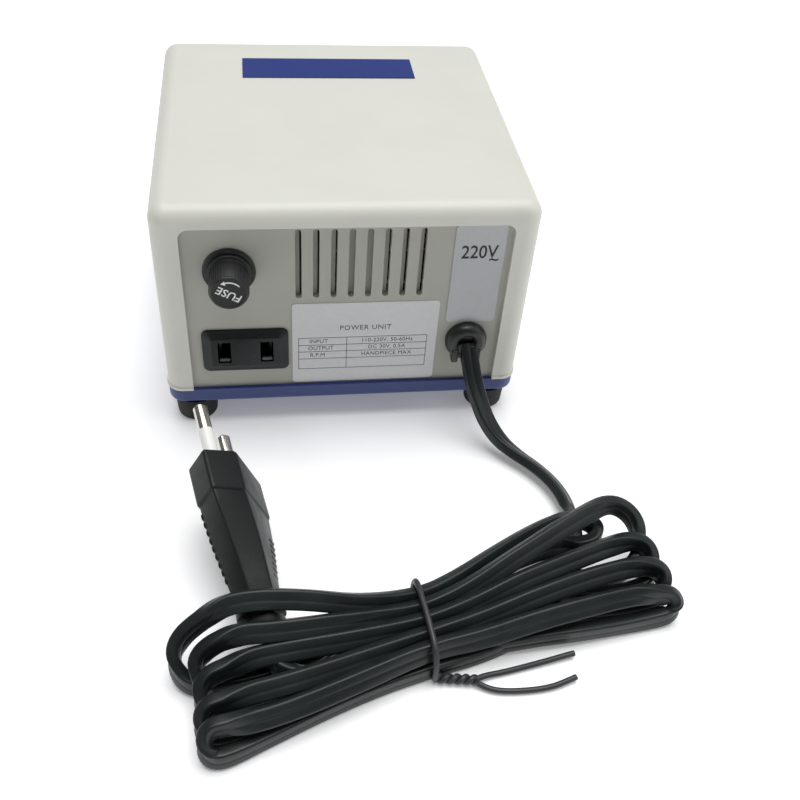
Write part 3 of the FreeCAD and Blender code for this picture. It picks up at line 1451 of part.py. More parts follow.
def arc_between(start, way, end):
    """The edge that leaves start along a direction and reaches end, and its radius."""
    chord = end - start
    along_chord = unit(chord)
    side = way - along_chord * way.dot(along_chord)
    if side.Length < 1e-5:
        return Part.LineSegment(start, end).toShape(), None
    angle = math.asin(min(1.0, side.Length))
    middle = (start + end) * 0.5 + unit(side) * (chord.Length / 2 * math.tan(angle / 2))
    return Part.Arc(start, middle, end).toShape(), chord.Length / 2 / math.sin(angle)


def biarcs(points):
    """A smooth run of arcs through points, two for each pair."""
    ways = route_ways(points)
    edges = []
    radii = []
    for start, end, one, two in zip(points, points[1:], ways, ways[1:]):
        chord = end - start
        both = one + two
        square = 2 * (one.dot(two) - 1)
        linear = -2 * chord.dot(both)
        if abs(square) < 1e-9:
            reach = chord.dot(chord) / -linear
        else:
            root = math.sqrt(linear * linear - 4 * square * chord.dot(chord))
            reach = (-linear - root) / (2 * square)
            if reach < 0:
                reach = (-linear + root) / (2 * square)
        joint = (start + end + (one - two) * reach) * 0.5
        first, radius = arc_between(start, one, joint)
        radii.append(radius)
        back, radius = arc_between(end, two * -1, joint)
        radii.append(radius)
        edges.append(first)
        edges.append(arc_between(joint, joint_way(start, one, joint), end)[0])
    return edges, [radius for radius in radii if radius]


def joint_way(start, way, joint):
    """The direction in which an arc that leaves start reaches joint."""
    along_chord = unit(joint - start)
    return along_chord * (2 * way.dot(along_chord)) - way


def runs_and_arcs(points):
    """Straight runs joined by tangent arcs as large as the two runs allow."""
    edges = []
    radii = []
    here = points[0]
    for before, corner, after in zip(points, points[1:], points[2:]):
        a, b = corner - before, after - corner
        turned = a.getAngle(b)
        cut_back = 0.45 * min(a.Length, b.Length)
        radius = cut_back / math.tan(turned / 2)
        one = corner - unit(a) * cut_back
        two = corner + unit(b) * cut_back
        inward = unit(unit(b) - unit(a))
        centre = corner + inward * (radius / math.cos(turned / 2))
        middle = centre - inward * radius
        edges.append(Part.LineSegment(here, one).toShape())
        edges.append(Part.Arc(one, middle, two).toShape())
        radii.append(radius)
        here = two
    edges.append(Part.LineSegment(here, points[-1]).toShape())
    return edges, radii


def tube_along(label, edges, radius, report):
    """A round tube along joined edges, its volume held against section times length."""
    path = Part.Wire(edges)
    start = edges[0].valueAt(edges[0].FirstParameter)
    way = edges[0].tangentAt(edges[0].FirstParameter)
    section = Part.Wire([Part.makeCircle(radius, start, way)])
    solid = Part.Wire(path).makePipeShell([section], True, False)
    if solid.Volume < 0:
        solid.reverse()
    share = solid.Volume / (math.pi * radius * radius * path.Length)
    print("%s: length %.1f, volume share %.4f, %s" % (label, path.Length, share, report))
    thing = doc.addObject("Part::Feature", label)
    thing.Label = label
    thing.Shape = solid
    thing.Placement = FreeCAD.Placement()
    return thing, path


def least_gap(path, radius):
    """The least free space between parts of one tube that are not neighbours along it."""
    count = int(path.Length / 1.5)
    points = path.discretize(count)
    skip = int(radius * 7 / 1.5)
    cells = {}
    for index, point in enumerate(points):
        key = (int(point.x // 8), int(point.y // 8), int(point.z // 8))
        cells.setdefault(key, []).append(index)
    least = 1e9
    for (a, b, c), members in cells.items():
        near = []
        for i in (-1, 0, 1):
            for j in (-1, 0, 1):
                for k in (-1, 0, 1):
                    near += cells.get((a + i, b + j, c + k), [])
        for one in members:
            for two in near:
                if two - one > skip:
                    least = min(least, points[one].distanceToPoint(points[two]))
    return least - 2 * radius


def make_cord():
    radius = float(C.cord_radius)
    nose_end = nose_start + unit(exit_way) * float(nose_length)
    lead = [nose_end] + [V(*point) for point in LEAD] + [V(*FIRST[0])]
    edges, radii = runs_and_arcs(lead)
    lead_tube, path = tube_along("mains_cord_lead", edges, radius,
                                 "radii " + " ".join("%.0f" % value for value in radii))
    edges, radii = biarcs(hank_route())
    hank_tube, path = tube_along("mains_cord_hank", edges, radius,
                                 "least radius %.1f" % min(radii))
    print("mains_cord_hank: least gap to itself %.2f" % least_gap(path, radius))
    edges, radii = runs_and_arcs([V(*point) for point in TAIL])
    tail_tube, path = tube_along("mains_cord_tail", edges, radius,
                                 "radii " + " ".join("%.0f" % value for value in radii))
    return [lead_tube, hank_tube, tail_tube]


# Wire tie round the waist: one closed turn, a short twist and two loose ends on the table

TIE_TURN = [(129.2, 3.4), (128.8, 11.4), (131.6, 15.0), (143.6, 15.3), (151.6, 11.9),
            (154.6, 6.2), (153.6, 1.7), (150.4, 0.85), (133.0, 0.9)]
TIE_TWIST = [(-14.8, 153.2, 1.6), (-20.0, 154.0, 1.6), (-25.5, 155.0, 1.6)]
TIE_ENDS = [
    [(-25.0, 154.2, 1.0), (-32.4, 153.4, 0.95), (-42.6, 151.2, 1.1), (-52.9, 149.6, 1.2)],
    [(-25.2, 156.0, 1.0), (-33.1, 158.4, 0.95), (-43.5, 158.6, 1.1), (-51.4, 156.4, 1.2)],
]


def make_tie():
    thin = float(C.tie_radius)
    corners = [V(-12.0 - (y - 131.0) * 0.1, y, z) for y, z in TIE_TURN]
    first = (corners[0] + corners[-1]) * 0.5
    closed = [first] + corners + [first]
    edges, radii = runs_and_arcs(closed)
    turn_tube, path = tube_along("tie_turn", edges, thin, "closed")
    pieces = [turn_tube]
    edges, radii = runs_and_arcs([V(*point) for point in TIE_TWIST])
    twist, path = tube_along("tie_twist", edges, thin * 1.6, "twisted pair")
    pieces.append(twist)
    for index, points in enumerate(TIE_ENDS):
        edges, radii = runs_and_arcs([V(*point) for point in points])
        end, path = tube_along("tie_end_%d" % (index + 1), edges, thin, "loose end")
        pieces.append(end)
    return joined("twist_tie", pieces)


nodes = [make_top_cover(), make_base_tray(), make_rubber_feet(), make_foot_screws()]
nodes += [make_rear_panel(), make_front_panel()]
nodes += make_labels()
nodes += make_fuse_holder()
nodes += make_outlet()
nodes.append(make_grommet())
nodes += make_speed_control()
for name, height, side in zip(("power", "direction", "control"), switch_heights(), (1, -1, 1)):
    nodes += make_switch(name, height, side)
nodes += make_handpiece_socket()
nodes += make_breaker_and_lamp()
nodes += make_transformer()
nodes += make_board()
nodes += make_plug()
nodes += make_cord()
nodes.append(make_tie())
doc.recompute()

for thing in doc.Objects:
    if "Invalid" in thing.State or "Error" in thing.State:
        raise RuntimeError("failed object: " + thing.Label)
whole = FreeCAD.BoundBox()
for node in nodes:
    shape = node.Shape
    if shape.isNull() or not shape.isValid() or shape.Volume <= 0:
        raise RuntimeError("bad shape: " + node.Label)
    whole.add(shape.BoundBox)
for node in nodes:
    node.Shape.exportStep("parts/%s.step" % node.Label)
print("%d pieces, %.1f x %.1f x %.1f" % (len(nodes), whole.XLength, whole.YLength, whole.ZLength))
print("lowest point %.3f" % whole.ZMin)
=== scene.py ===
import json
import math

import bpy
from mathutils import Matrix, Vector

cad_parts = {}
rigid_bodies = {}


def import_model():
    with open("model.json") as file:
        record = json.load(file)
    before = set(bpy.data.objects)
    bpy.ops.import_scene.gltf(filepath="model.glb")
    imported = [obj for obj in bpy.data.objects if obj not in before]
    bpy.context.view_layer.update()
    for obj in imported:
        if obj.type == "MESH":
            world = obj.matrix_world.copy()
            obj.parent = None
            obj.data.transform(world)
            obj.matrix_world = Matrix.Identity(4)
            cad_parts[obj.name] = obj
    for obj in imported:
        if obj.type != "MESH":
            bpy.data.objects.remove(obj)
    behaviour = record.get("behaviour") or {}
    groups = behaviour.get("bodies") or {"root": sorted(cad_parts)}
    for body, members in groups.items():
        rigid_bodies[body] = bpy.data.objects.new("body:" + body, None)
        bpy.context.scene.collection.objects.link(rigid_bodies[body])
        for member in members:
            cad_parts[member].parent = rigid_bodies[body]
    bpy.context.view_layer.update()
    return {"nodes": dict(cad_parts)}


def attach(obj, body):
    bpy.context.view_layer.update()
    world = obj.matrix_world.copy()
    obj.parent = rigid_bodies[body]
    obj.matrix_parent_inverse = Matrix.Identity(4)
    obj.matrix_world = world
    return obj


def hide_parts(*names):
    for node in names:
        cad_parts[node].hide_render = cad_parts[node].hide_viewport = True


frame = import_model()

# Lab micromotor control unit. Lengths written in millimetres are turned to metres with MM.
MM = 0.001
nodes = frame["nodes"]
for piece in bpy.context.scene.objects:
    piece.select_set(False)


# Camera, at the viewing angle of the picture

CAMERA_PLACE = (0.02482, 0.28098, 0.22059)
CAMERA_RIGHT = (-0.9899, 0.1265, 0.0640)
CAMERA_VIEW = (-0.1359, -0.7189, -0.6817)
FOCAL_PIXELS = 967.854
PICTURE_PIXELS = 800
SENSOR = 36.0


def aim_camera():
    data = bpy.data.cameras.new("picture_camera")
    camera = bpy.data.objects.new("picture_camera", data)
    bpy.context.scene.collection.objects.link(camera)
    right = Vector(CAMERA_RIGHT).normalized()
    view = Vector(CAMERA_VIEW).normalized()
    up = right.cross(view).normalized()
    right = view.cross(up).normalized()
    turn = Matrix((right, up, -view)).transposed().to_4x4()
    camera.matrix_world = Matrix.Translation(CAMERA_PLACE) @ turn
    data.sensor_fit = "HORIZONTAL"
    data.sensor_width = SENSOR
    data.lens = FOCAL_PIXELS / PICTURE_PIXELS * SENSOR
    data.clip_start = 0.01
    data.clip_end = 20.0
    bpy.context.scene.camera = camera


aim_camera()


# Mains cord: the middle of the flat cord, with the way its wide side faces

LEAD = [(-37.7, 55.2, 29.6), (-37.9, 57.3, 27.2), (-39.1, 61.8, 20.9), (-40.9, 65.6, 14.9),
        (-43.4, 69.8, 9.3), (-47.2, 74.4, 5.2), (-51.7, 78.9, 3.5), (-56.3, 83.8, 3.15),
        (-60.0, 89.6, 3.15), (-62.2, 95.6, 3.15), (-62.9, 101.0, 3.15)]
FIRST = [(-62.9, 105.5, 3.0), (-62.9, 109.7, 3.0), (-61.4, 116.5, 3.0), (-58.6, 123.2, 3.0),
         (-54.6, 130.0, 3.0), (-49.0, 136.6, 3.0), (-41.0, 143.0, 3.0), (-29.0, 148.0, 3.0),
         (-13.0, 151.6, 3.1), (0.0, 155.2, 3.0), (14.0, 160.4, 3.0), (28.0, 166.4, 3.0)]
LEFT_ENDS = [
    [(37.8, 170.6, 3.0), (41.2, 170.4, 3.4), (42.4, 168.6, 6.6), (41.2, 166.6, 9.4),
     (37.8, 166.0, 10.2)],
    [(38.6, 166.2, 3.0), (42.0, 165.4, 3.4), (43.2, 163.4, 6.8), (42.0, 161.2, 9.8),
     (38.6, 160.4, 10.6)],
    [(38.3, 162.0, 3.0), (42.3, 160.2, 3.5), (44.0, 155.6, 6.8), (42.0, 152.8, 9.4),
     (38.0, 151.6, 10.4)],
    [(38.0, 157.4, 3.0), (43.0, 155.0, 3.8), (45.0, 150.0, 7.8), (43.4, 147.2, 11.2),
     (38.6, 145.4, 13.6)],
    [(42.5, 152.0, 3.0), (48.0, 150.2, 3.6), (50.4, 146.2, 7.6), (48.6, 142.8, 11.8),
     (43.0, 140.2, 15.2)],
]
TOPS = [
    [(31.0, 165.4, 9.4), (20.0, 162.2, 9.0), (4.0, 156.2, 9.0), (-13.0, 149.6, 9.2),
     (-27.0, 147.6, 9.2), (-42.0, 144.6, 11.0), (-58.0, 141.4, 11.4), (-70.0, 139.0, 11.0)],
    [(31.0, 158.8, 11.0), (20.0, 156.4, 10.8), (4.0, 151.4, 10.0), (-13.0, 145.8, 9.3),
     (-27.0, 142.6, 9.6), (-42.0, 138.2, 11.2), (-56.0, 134.0, 11.8), (-69.0, 130.8, 11.6)],
    [(31.0, 149.4, 11.2), (20.0, 148.0, 11.2), (4.0, 146.0, 11.0), (-13.0, 142.0, 9.4),
     (-27.0, 137.8, 10.0), (-40.0, 133.0, 12.0), (-53.0, 128.4, 12.2), (-66.0, 123.8, 12.0)],
    [(33.0, 144.6, 14.6), (25.0, 144.8, 14.8), (14.0, 143.6, 14.0), (2.0, 141.6, 12.2),
     (-13.0, 138.2, 9.4), (-26.0, 133.6, 10.8), (-38.0, 127.8, 13.8), (-50.0, 121.4, 15.4),
     (-62.0, 114.8, 16.2)],
    [(37.0, 138.2, 18.2), (28.0, 137.6, 18.6), (16.0, 137.8, 17.0), (3.0, 137.6, 12.8),
     (-13.0, 134.4, 9.4), (-24.0, 129.2, 9.2), (-36.0, 121.6, 8.8), (-48.0, 114.4, 8.0),
     (-57.0, 110.2, 7.4)],
]
RIGHT_ENDS = [
    [(-77.4, 138.4, 9.8), (-81.0, 138.6, 8.6), (-82.2, 139.6, 6.0), (-81.0, 141.0, 3.8),
     (-77.4, 141.6, 3.1)],
    [(-76.6, 129.6, 10.8), (-80.2, 130.6, 9.4), (-81.4, 132.8, 6.8), (-80.2, 136.0, 4.0),
     (-76.6, 137.2, 3.1)],
    [(-74.5, 121.2, 11.6), (-78.8, 122.4, 9.9), (-80.4, 125.6, 6.8), (-78.8, 130.0, 4.0),
     (-74.5, 132.0, 3.1)],
    [(-70.5, 110.4, 15.4), (-76.6, 112.4, 12.6), (-79.0, 117.0, 8.6), (-76.6, 123.6, 4.4),
     (-71.0, 126.8, 3.2)],
    [(-61.0, 109.5, 7.2), (-65.8, 109.8, 7.0), (-68.4, 113.3, 6.3), (-65.8, 116.8, 5.6),
     (-61.0, 117.4, 5.4)],
]
UNDERS = [
    [(-66.0, 143.2, 3.4), (-54.0, 144.9, 4.4), (-42.0, 145.8, 4.8), (-30.0, 146.6, 3.8),
     (-13.0, 148.2, 3.2), (0.0, 151.6, 3.0), (14.0, 156.6, 3.0), (28.0, 162.4, 3.0)],
    [(-66.0, 138.6, 3.4), (-53.0, 139.6, 5.0), (-41.0, 140.6, 4.8), (-28.0, 142.0, 3.4),
     (-13.0, 144.4, 3.2), (0.0, 148.0, 3.0), (14.0, 152.8, 3.0), (28.0, 158.4, 3.0)],
    [(-66.0, 133.6, 3.6), (-54.5, 133.6, 5.2), (-42.0, 134.4, 4.4), (-28.0, 136.6, 3.2),
     (-13.0, 140.6, 3.2), (0.0, 144.2, 3.0), (14.0, 149.0, 3.0), (28.0, 154.4, 3.0)],
    [(-65.0, 128.6, 3.6), (-56.5, 127.9, 5.2), (-44.0, 128.2, 3.8), (-30.0, 130.8, 3.0),
     (-13.0, 136.8, 3.2), (0.0, 139.8, 3.0), (14.0, 144.8, 3.0), (28.0, 149.9, 3.0)],
]
LAST = [(-56.0, 117.5, 5.2), (-50.0, 118.0, 5.0), (-38.0, 121.8, 4.2), (-28.0, 127.2, 3.6),
        (-13.0, 132.9, 3.4), (-4.0, 137.6, 6.2), (1.8, 142.6, 7.0), (5.6, 146.4, 7.2),
        (9.6, 149.6, 7.2)]
TAIL = [(14.0, 152.6, 7.3), (18.6, 153.9, 7.4), (22.8, 152.4, 7.8), (25.6, 149.5, 8.3),
        (26.6, 145.9, 8.9), (27.3, 142.42, 9.57), (27.9, 139.6, 10.1)]
UPRIGHT = (0.0, 0.0, 1.0)
PLUG_FACE = Vector((37.2, 95.5, 18.35))
PLUG_WAY = Vector((0.203, -0.962, 0.180)).normalized()
PLUG_ACROSS = Vector((0.295, 0.236, 0.926))


def leaning(x):
    """The limbs stand upright at the tied waist and lean back to either side of it."""
    lean = 0.40 + 0.32 * min(1.0, abs(x + 13.0) / 26.0)
    return (0.0, -lean, math.sqrt(1.0 - lean * lean))


def cord_stations():
    """The route's points and, at each, the way in which the cord's wide side runs."""
    points = [(p, (1.0, 0.1, 0.1)) for p in LEAD[:3]]
    points += [(p, (0.9, 0.3, 0.3 + 0.12 * i)) for i, p in enumerate(LEAD[3:])]
    points += [(p, UPRIGHT) for p in FIRST]
    for k, end in enumerate(LEFT_ENDS):
        points += [(p, (0.0, -0.12, 1.0)) for p in end]
        points += [(p, leaning(p[0])) for p in TOPS[k]]
        points += [(p, (0.0, -0.12, 1.0)) for p in RIGHT_ENDS[k]]
        if k < len(UNDERS):
            points += [(p, UPRIGHT) for p in UNDERS[k]]
    points += [(p, (0.0, -0.8, 0.6)) for p in LAST]
    points += [(p, (0.0, -0.8 + 0.16 * i, 0.6 + 0.1 * i)) for i, p in enumerate(TAIL)]
    return points


def route_spline(name, stations):
    """The route as one smooth open spline with no thickness."""
    data = bpy.data.curves.new(name, "CURVE")
    data.dimensions = "3D"
    data.resolution_u = 6
    spline = data.splines.new("NURBS")
    spline.points.add(len(stations) - 1)
    for point, (place, _) in zip(spline.points, stations):
        point.co = (place[0] * MM, place[1] * MM, place[2] * MM, 1.0)
    spline.order_u = 3
    spline.use_endpoint_u = True
    return bpy.data.objects.new(name, data)


def spline_points(route):
    """The points that the spline passes through, in order."""
    bpy.context.scene.collection.objects.link(route)
    bpy.context.view_layer.update()
    line = bpy.data.meshes.new_from_object(route.evaluated_get(
        bpy.context.evaluated_depsgraph_get()))
    points = [v.co.copy() for v in line.vertices]
    bpy.data.meshes.remove(line)
    bpy.data.objects.remove(route)
    return points


# Half of the cord's section, from the middle of one flat side round to the other: two cores
# side by side with a shallow furrow between them
HALF_SECTION = [(0.0, 1.50), (0.22, 1.52), (0.45, 1.59), (0.8, 1.62), (1.95, 1.62), (2.34, 1.54),
                (2.58, 1.28), (2.65, 0.85), (2.65, -0.85), (2.58, -1.28), (2.34, -1.54),
                (1.95, -1.62), (0.8, -1.62), (0.45, -1.59), (0.22, -1.52), (0.0, -1.50)]


def sweep_flat_cord(name, points, stations):
    """A closed flat tube along the points, its wide side kept to the way given at the stations."""
    section = HALF_SECTION + [(-w, t) for w, t in HALF_SECTION[-2:0:-1]]
    round_count = len(section)
    count = len(points)
    vertices = []
    spans = [0.0]
    for before, after in zip(points, points[1:]):
        spans.append(spans[-1] + (after - before).length)
    for index, place in enumerate(points):
        before = points[max(index - 1, 0)]
        after = points[min(index + 1, count - 1)]
        ahead = (after - before).normalized()
        step = index / (count - 1) * (len(stations) - 2) + 0.5
        low = min(int(step), len(stations) - 2)
        share = min(max(step - low, 0.0), 1.0)
        wide = Vector(stations[low][1]).normalized().lerp(
            Vector(stations[low + 1][1]).normalized(), share)
        wide = (wide - ahead * wide.dot(ahead)).normalized()
        thick = ahead.cross(wide).normalized()
        for w, t in section:
            vertices.append(place + (wide * w + thick * t) * MM)
    faces = []
    for index in range(count - 1):
        for turn in range(round_count):
            other = (turn + 1) % round_count
            a = index * round_count + turn
            b = index * round_count + other
            faces.append((a, b, b + round_count, a + round_count))
    faces.append(tuple(range(round_count)))
    faces.append(tuple(range((count - 1) * round_count, count * round_count))[::-1])
    mesh = bpy.data.meshes.new(name)
    mesh.from_pydata(vertices, [], faces)
    mesh.update()
    piece = bpy.data.objects.new(name, mesh)
    bpy.context.scene.collection.objects.link(piece)
    layer = mesh.uv_layers.new(name="along_cord")
    for polygon in mesh.polygons:
        for loop in polygon.loop_indices:
            vertex = mesh.loops[loop].vertex_index
            ring, turn = divmod(vertex, round_count)
            around = turn / round_count
            if turn == 0 and max(mesh.loops[i].vertex_index % round_count
                                 for i in polygon.loop_indices) > 1:
                around = 1.0
            layer.data[loop].uv = (spans[ring], around)
    return piece


stations = cord_stations()
cord_line = spline_points(route_spline("mains_cord_route", stations))
mains_cord = sweep_flat_cord("mains_cord", cord_line, stations)


# Modelling helpers

def pick(piece):
    """Only this piece is selected and active."""
    bpy.ops.object.select_all(action="DESELECT")
    piece.select_set(True)
    bpy.context.view_layer.objects.active = piece
    return piece


def active(name):
    piece = bpy.context.active_object
    piece.name = name
    piece.data.name = name
    return pick(piece)


def settle(piece, place=None):
    """Puts the place, turn and size of a piece in its mesh."""
    pick(piece)
    if place is not None:
        piece.matrix_world = place @ piece.matrix_world
        bpy.context.view_layer.update()
    bpy.ops.object.transform_apply(location=True, rotation=True, scale=True)
    return piece


def bevelled(piece, width, segments=3, angle=30.0):
    pick(piece)
    bevel = piece.modifiers.new("edge_round", "BEVEL")
    bevel.width = width * MM
    bevel.segments = segments
    bevel.limit_method = "ANGLE"
    bevel.angle_limit = math.radians(angle)
    bevel.harden_normals = False
    bpy.ops.object.modifier_apply(modifier=bevel.name)
    return piece


def smooth(piece, angle=32.0):
    pick(piece)
    bpy.ops.object.shade_smooth_by_angle(angle=math.radians(angle))
    return piece


WELD_DISTANCE = 0.000002


def outward(piece):
    pick(piece)
    bpy.ops.object.mode_set(mode="EDIT")
    bpy.ops.mesh.select_all(action="SELECT")
    bpy.ops.mesh.remove_doubles(threshold=WELD_DISTANCE)
    bpy.ops.mesh.normals_make_consistent(inside=False)
    bpy.ops.object.mode_set(mode="OBJECT")
    return piece


def welded(name, pieces):
    """Several pieces made one object."""
    bpy.ops.object.select_all(action="DESELECT")
    for piece in pieces:
        piece.select_set(True)
    bpy.context.view_layer.objects.active = pieces[0]
    bpy.ops.object.join()
    return active(name)


def box_piece(name, centre, size):
    bpy.ops.mesh.primitive_cube_add(size=1, location=[c * MM for c in centre],
                                    scale=[s * MM for s in size])
    return settle(active(name))


def turned(name, profile, sides=64):
    """A piece turned on a lathe: the profile's (radius, height) points, spun about Z."""
    drawing = bpy.data.meshes.new(name)
    drawing.from_pydata([(r * MM, 0.0, z * MM) for r, z in profile],
                        [(i, i + 1) for i in range(len(profile) - 1)], [])
    piece = bpy.data.objects.new(name, drawing)
    bpy.context.scene.collection.objects.link(piece)
    pick(piece)
    bpy.ops.object.mode_set(mode="EDIT")
    bpy.ops.mesh.select_all(action="SELECT")
    bpy.ops.mesh.spin(steps=sides, angle=math.tau, center=(0, 0, 0), axis=(0, 0, 1))
    bpy.ops.object.mode_set(mode="OBJECT")
    return outward(piece)


def placed(origin, turn):
    return Matrix.Translation([c * MM for c in origin]) @ turn.to_4x4()


# Turns that carry a piece made along +Z to the rear side, to the front side and to the plug
REAR = Matrix(((-1, 0, 0), (0, 0, 1), (0, 1, 0)))
FRONT = Matrix(((1, 0, 0), (0, 0, -1), (0, 1, 0)))
plug_side = PLUG_WAY.cross(PLUG_ACROSS).normalized()
plug_across = plug_side.cross(PLUG_WAY).normalized()
PLUG = Matrix((plug_across, plug_side, PLUG_WAY)).transposed()


def lettering(name, words, size, origin, turn, depth=0.05, spacing=1.0, spin=0.0, condense=1.0,
              bold=0.0):
    """Flat printed words as a thin mesh, centred on the origin."""
    bpy.ops.object.text_add(location=(0, 0, 0))
    piece = bpy.context.active_object
    piece.data.body = words
    piece.data.size = size
    piece.data.align_x = "CENTER"
    piece.data.align_y = "CENTER"
    piece.data.space_character = spacing
    piece.data.extrude = depth / 2
    piece.data.offset = bold * size
    piece.data.resolution_u = 3
    pick(piece)
    bpy.ops.object.convert(target="MESH")
    piece = active(name)
    piece.matrix_world = (placed(origin, turn) @ Matrix.Rotation(math.radians(spin), 4, "Z")
                          @ Matrix.Diagonal((condense * MM, MM, MM, 1.0)))
    return settle(piece)


# Finishes: each is a procedural material on Object coordinates or on a piece's own layout

def finish(name, colour, roughness, metallic=0.0):
    """A material with one main shader, returned with its node tree and shader."""
    material = bpy.data.materials.new(name)
    material.use_nodes = True
    tree = material.node_tree
    shader = tree.nodes["Principled BSDF"]
    shader.inputs["Base Color"].default_value = (*colour, 1.0)
    shader.inputs["Roughness"].default_value = roughness
    shader.inputs["Metallic"].default_value = metallic
    material.diffuse_color = (*colour, 1.0)
    return material, tree, shader


def node(tree, kind, **values):
    made = tree.nodes.new(kind)
    for key, value in values.items():
        if key in made.inputs:
            made.inputs[key].default_value = value
        else:
            setattr(made, key, value)
    return made


def object_place(tree, scale=(1.0, 1.0, 1.0), turn=(0.0, 0.0, 0.0)):
    coordinates = tree.nodes.new("ShaderNodeTexCoord")
    mapping = tree.nodes.new("ShaderNodeMapping")
    mapping.inputs["Scale"].default_value = scale
    mapping.inputs["Rotation"].default_value = turn
    tree.links.new(coordinates.outputs["Object"], mapping.inputs["Vector"])
    return mapping.outputs["Vector"]


def noise(tree, place, scale, detail=3.0, rough=0.55):
    made = node(tree, "ShaderNodeTexNoise", Scale=scale, Detail=detail, Roughness=rough)
    tree.links.new(place, made.inputs["Vector"])
    return made.outputs["Fac"]


def spread(tree, value, low, high, start=0.3, end=0.7):
    made = tree.nodes.new("ShaderNodeMapRange")
    made.inputs["From Min"].default_value = start
    made.inputs["From Max"].default_value = end
    made.inputs["To Min"].default_value = low
    made.inputs["To Max"].default_value = high
    tree.links.new(value, made.inputs["Value"])
    return made.outputs["Result"]


def two_tone(tree, value, dark, light, start=0.3, end=0.7):
    ramp = tree.nodes.new("ShaderNodeValToRGB")
    ramp.color_ramp.elements[0].position = start
    ramp.color_ramp.elements[1].position = end
    ramp.color_ramp.elements[0].color = (*dark, 1.0)
    ramp.color_ramp.elements[1].color = (*light, 1.0)
    tree.links.new(value, ramp.inputs["Fac"])
    return ramp.outputs["Color"]


def relief(tree, shader, height, distance, strength=1.0, under=None):
    bump = tree.nodes.new("ShaderNodeBump")
    bump.inputs["Distance"].default_value = distance
    bump.inputs["Strength"].default_value = strength
    tree.links.new(height, bump.inputs["Height"])
    if under is not None:
        tree.links.new(under, bump.inputs["Normal"])
    tree.links.new(bump.outputs["Normal"], shader.inputs["Normal"])
    return bump.outputs["Normal"]


def tinted(colour, share):
    return tuple(min(c * share, 1.0) for c in colour)


def moulded(name, colour, roughness, grain=2600.0, depth=0.00003, wear=0.10, specular=0.5,
            cloud=28.0):
    """Moulded plastic: fine spark grain, slow cloudiness and uneven gloss from handling."""
    material, tree, shader = finish(name, colour, roughness)
    place = object_place(tree)
    fine = noise(tree, place, grain, 2.0, 0.6)
    slow = noise(tree, place, cloud, 4.0, 0.6)
    tree.links.new(two_tone(tree, slow, tinted(colour, 1 - wear * 0.45),
                            tinted(colour, 1 + wear * 0.3)), shader.inputs["Base Color"])
    tree.links.new(spread(tree, noise(tree, place, cloud * 3.2, 5.0, 0.65),
                          roughness * (1 - wear), roughness * (1 + wear)),
                   shader.inputs["Roughness"])
    shader.inputs["Specular IOR Level"].default_value = specular
    relief(tree, shader, fine, depth)
    return material


def metal(name, colour, roughness, along=(1.0, 1.0, 1.0), depth=0.00001, grain=900.0):
    """Metal with fine drawn or turned lines."""
    material, tree, shader = finish(name, colour, roughness, 1.0)
    place = object_place(tree, along)
    lines = noise(tree, place, grain, 4.0, 0.7)
    tree.links.new(two_tone(tree, noise(tree, place, 60.0, 3.0), tinted(colour, 0.88),
                            tinted(colour, 1.06)), shader.inputs["Base Color"])
    tree.links.new(spread(tree, lines, roughness * 0.7, roughness * 1.35),
                   shader.inputs["Roughness"])
    relief(tree, shader, lines, depth, 0.6)
    return material


def printed_ink(name, colour):
    material, tree, shader = finish(name, colour, 0.42)
    place = object_place(tree)
    tree.links.new(two_tone(tree, noise(tree, place, 1800.0, 2.0), colour, tinted(colour, 1.6)),
                   shader.inputs["Base Color"])
    return material


def foil_label(name, colour, roughness, sheen):
    """A printed foil label: silvery speckle with a slow sheen across it."""
    material, tree, shader = finish(name, colour, roughness, sheen)
    place = object_place(tree)
    speck = noise(tree, place, 2400.0, 2.0, 0.7)
    tree.links.new(two_tone(tree, speck, tinted(colour, 0.95), tinted(colour, 1.04)),
                   shader.inputs["Base Color"])
    tree.links.new(spread(tree, noise(tree, place, 90.0, 3.0), roughness * 0.9, roughness * 1.15),
                   shader.inputs["Roughness"])
    relief(tree, shader, speck, 0.000006)
    return material


WAVE_UNIT = 0.31416


def striped(name, dark, light, roughness, pitch, turn, metallic=0.0, depth=0.00006):
    """Fine lines at a pitch: wire turns, laminations or ribs."""
    material, tree, shader = finish(name, light, roughness, metallic)
    place = object_place(tree, turn=turn)
    wave = node(tree, "ShaderNodeTexWave", Scale=WAVE_UNIT / (pitch * MM), Distortion=0.6)
    wave.inputs["Detail Scale"].default_value = 1.5
    tree.links.new(place, wave.inputs["Vector"])
    tree.links.new(two_tone(tree, wave.outputs["Fac"], dark, light, 0.1, 0.7),
                   shader.inputs["Base Color"])
    relief(tree, shader, wave.outputs["Fac"], depth)
    return material


def cord_finish():
    """Soft black cord sheath: matt skin with faint dull patches and drawn lines along it."""
    colour = (0.0092, 0.0136, 0.0130)
    material, tree, shader = finish("cord_sheath", colour, 0.40)
    layout = tree.nodes.new("ShaderNodeUVMap")
    layout.uv_map = "along_cord"
    stretch = tree.nodes.new("ShaderNodeMapping")
    stretch.inputs["Scale"].default_value = (60.0, 9.0, 1.0)
    tree.links.new(layout.outputs["UV"], stretch.inputs["Vector"])
    drawn = noise(tree, stretch.outputs["Vector"], 1.6, 5.0, 0.6)
    place = object_place(tree)
    dull = noise(tree, place, 55.0, 4.0, 0.6)
    tree.links.new(two_tone(tree, dull, tinted(colour, 0.8), tinted(colour, 1.5)),
                   shader.inputs["Base Color"])
    tree.links.new(spread(tree, dull, 0.33, 0.48), shader.inputs["Roughness"])
    shader.inputs["Specular IOR Level"].default_value = 0.40
    fine = relief(tree, shader, noise(tree, place, 2600.0, 2.0), 0.00002)
    relief(tree, shader, drawn, 0.00012, 0.5, fine)
    return material


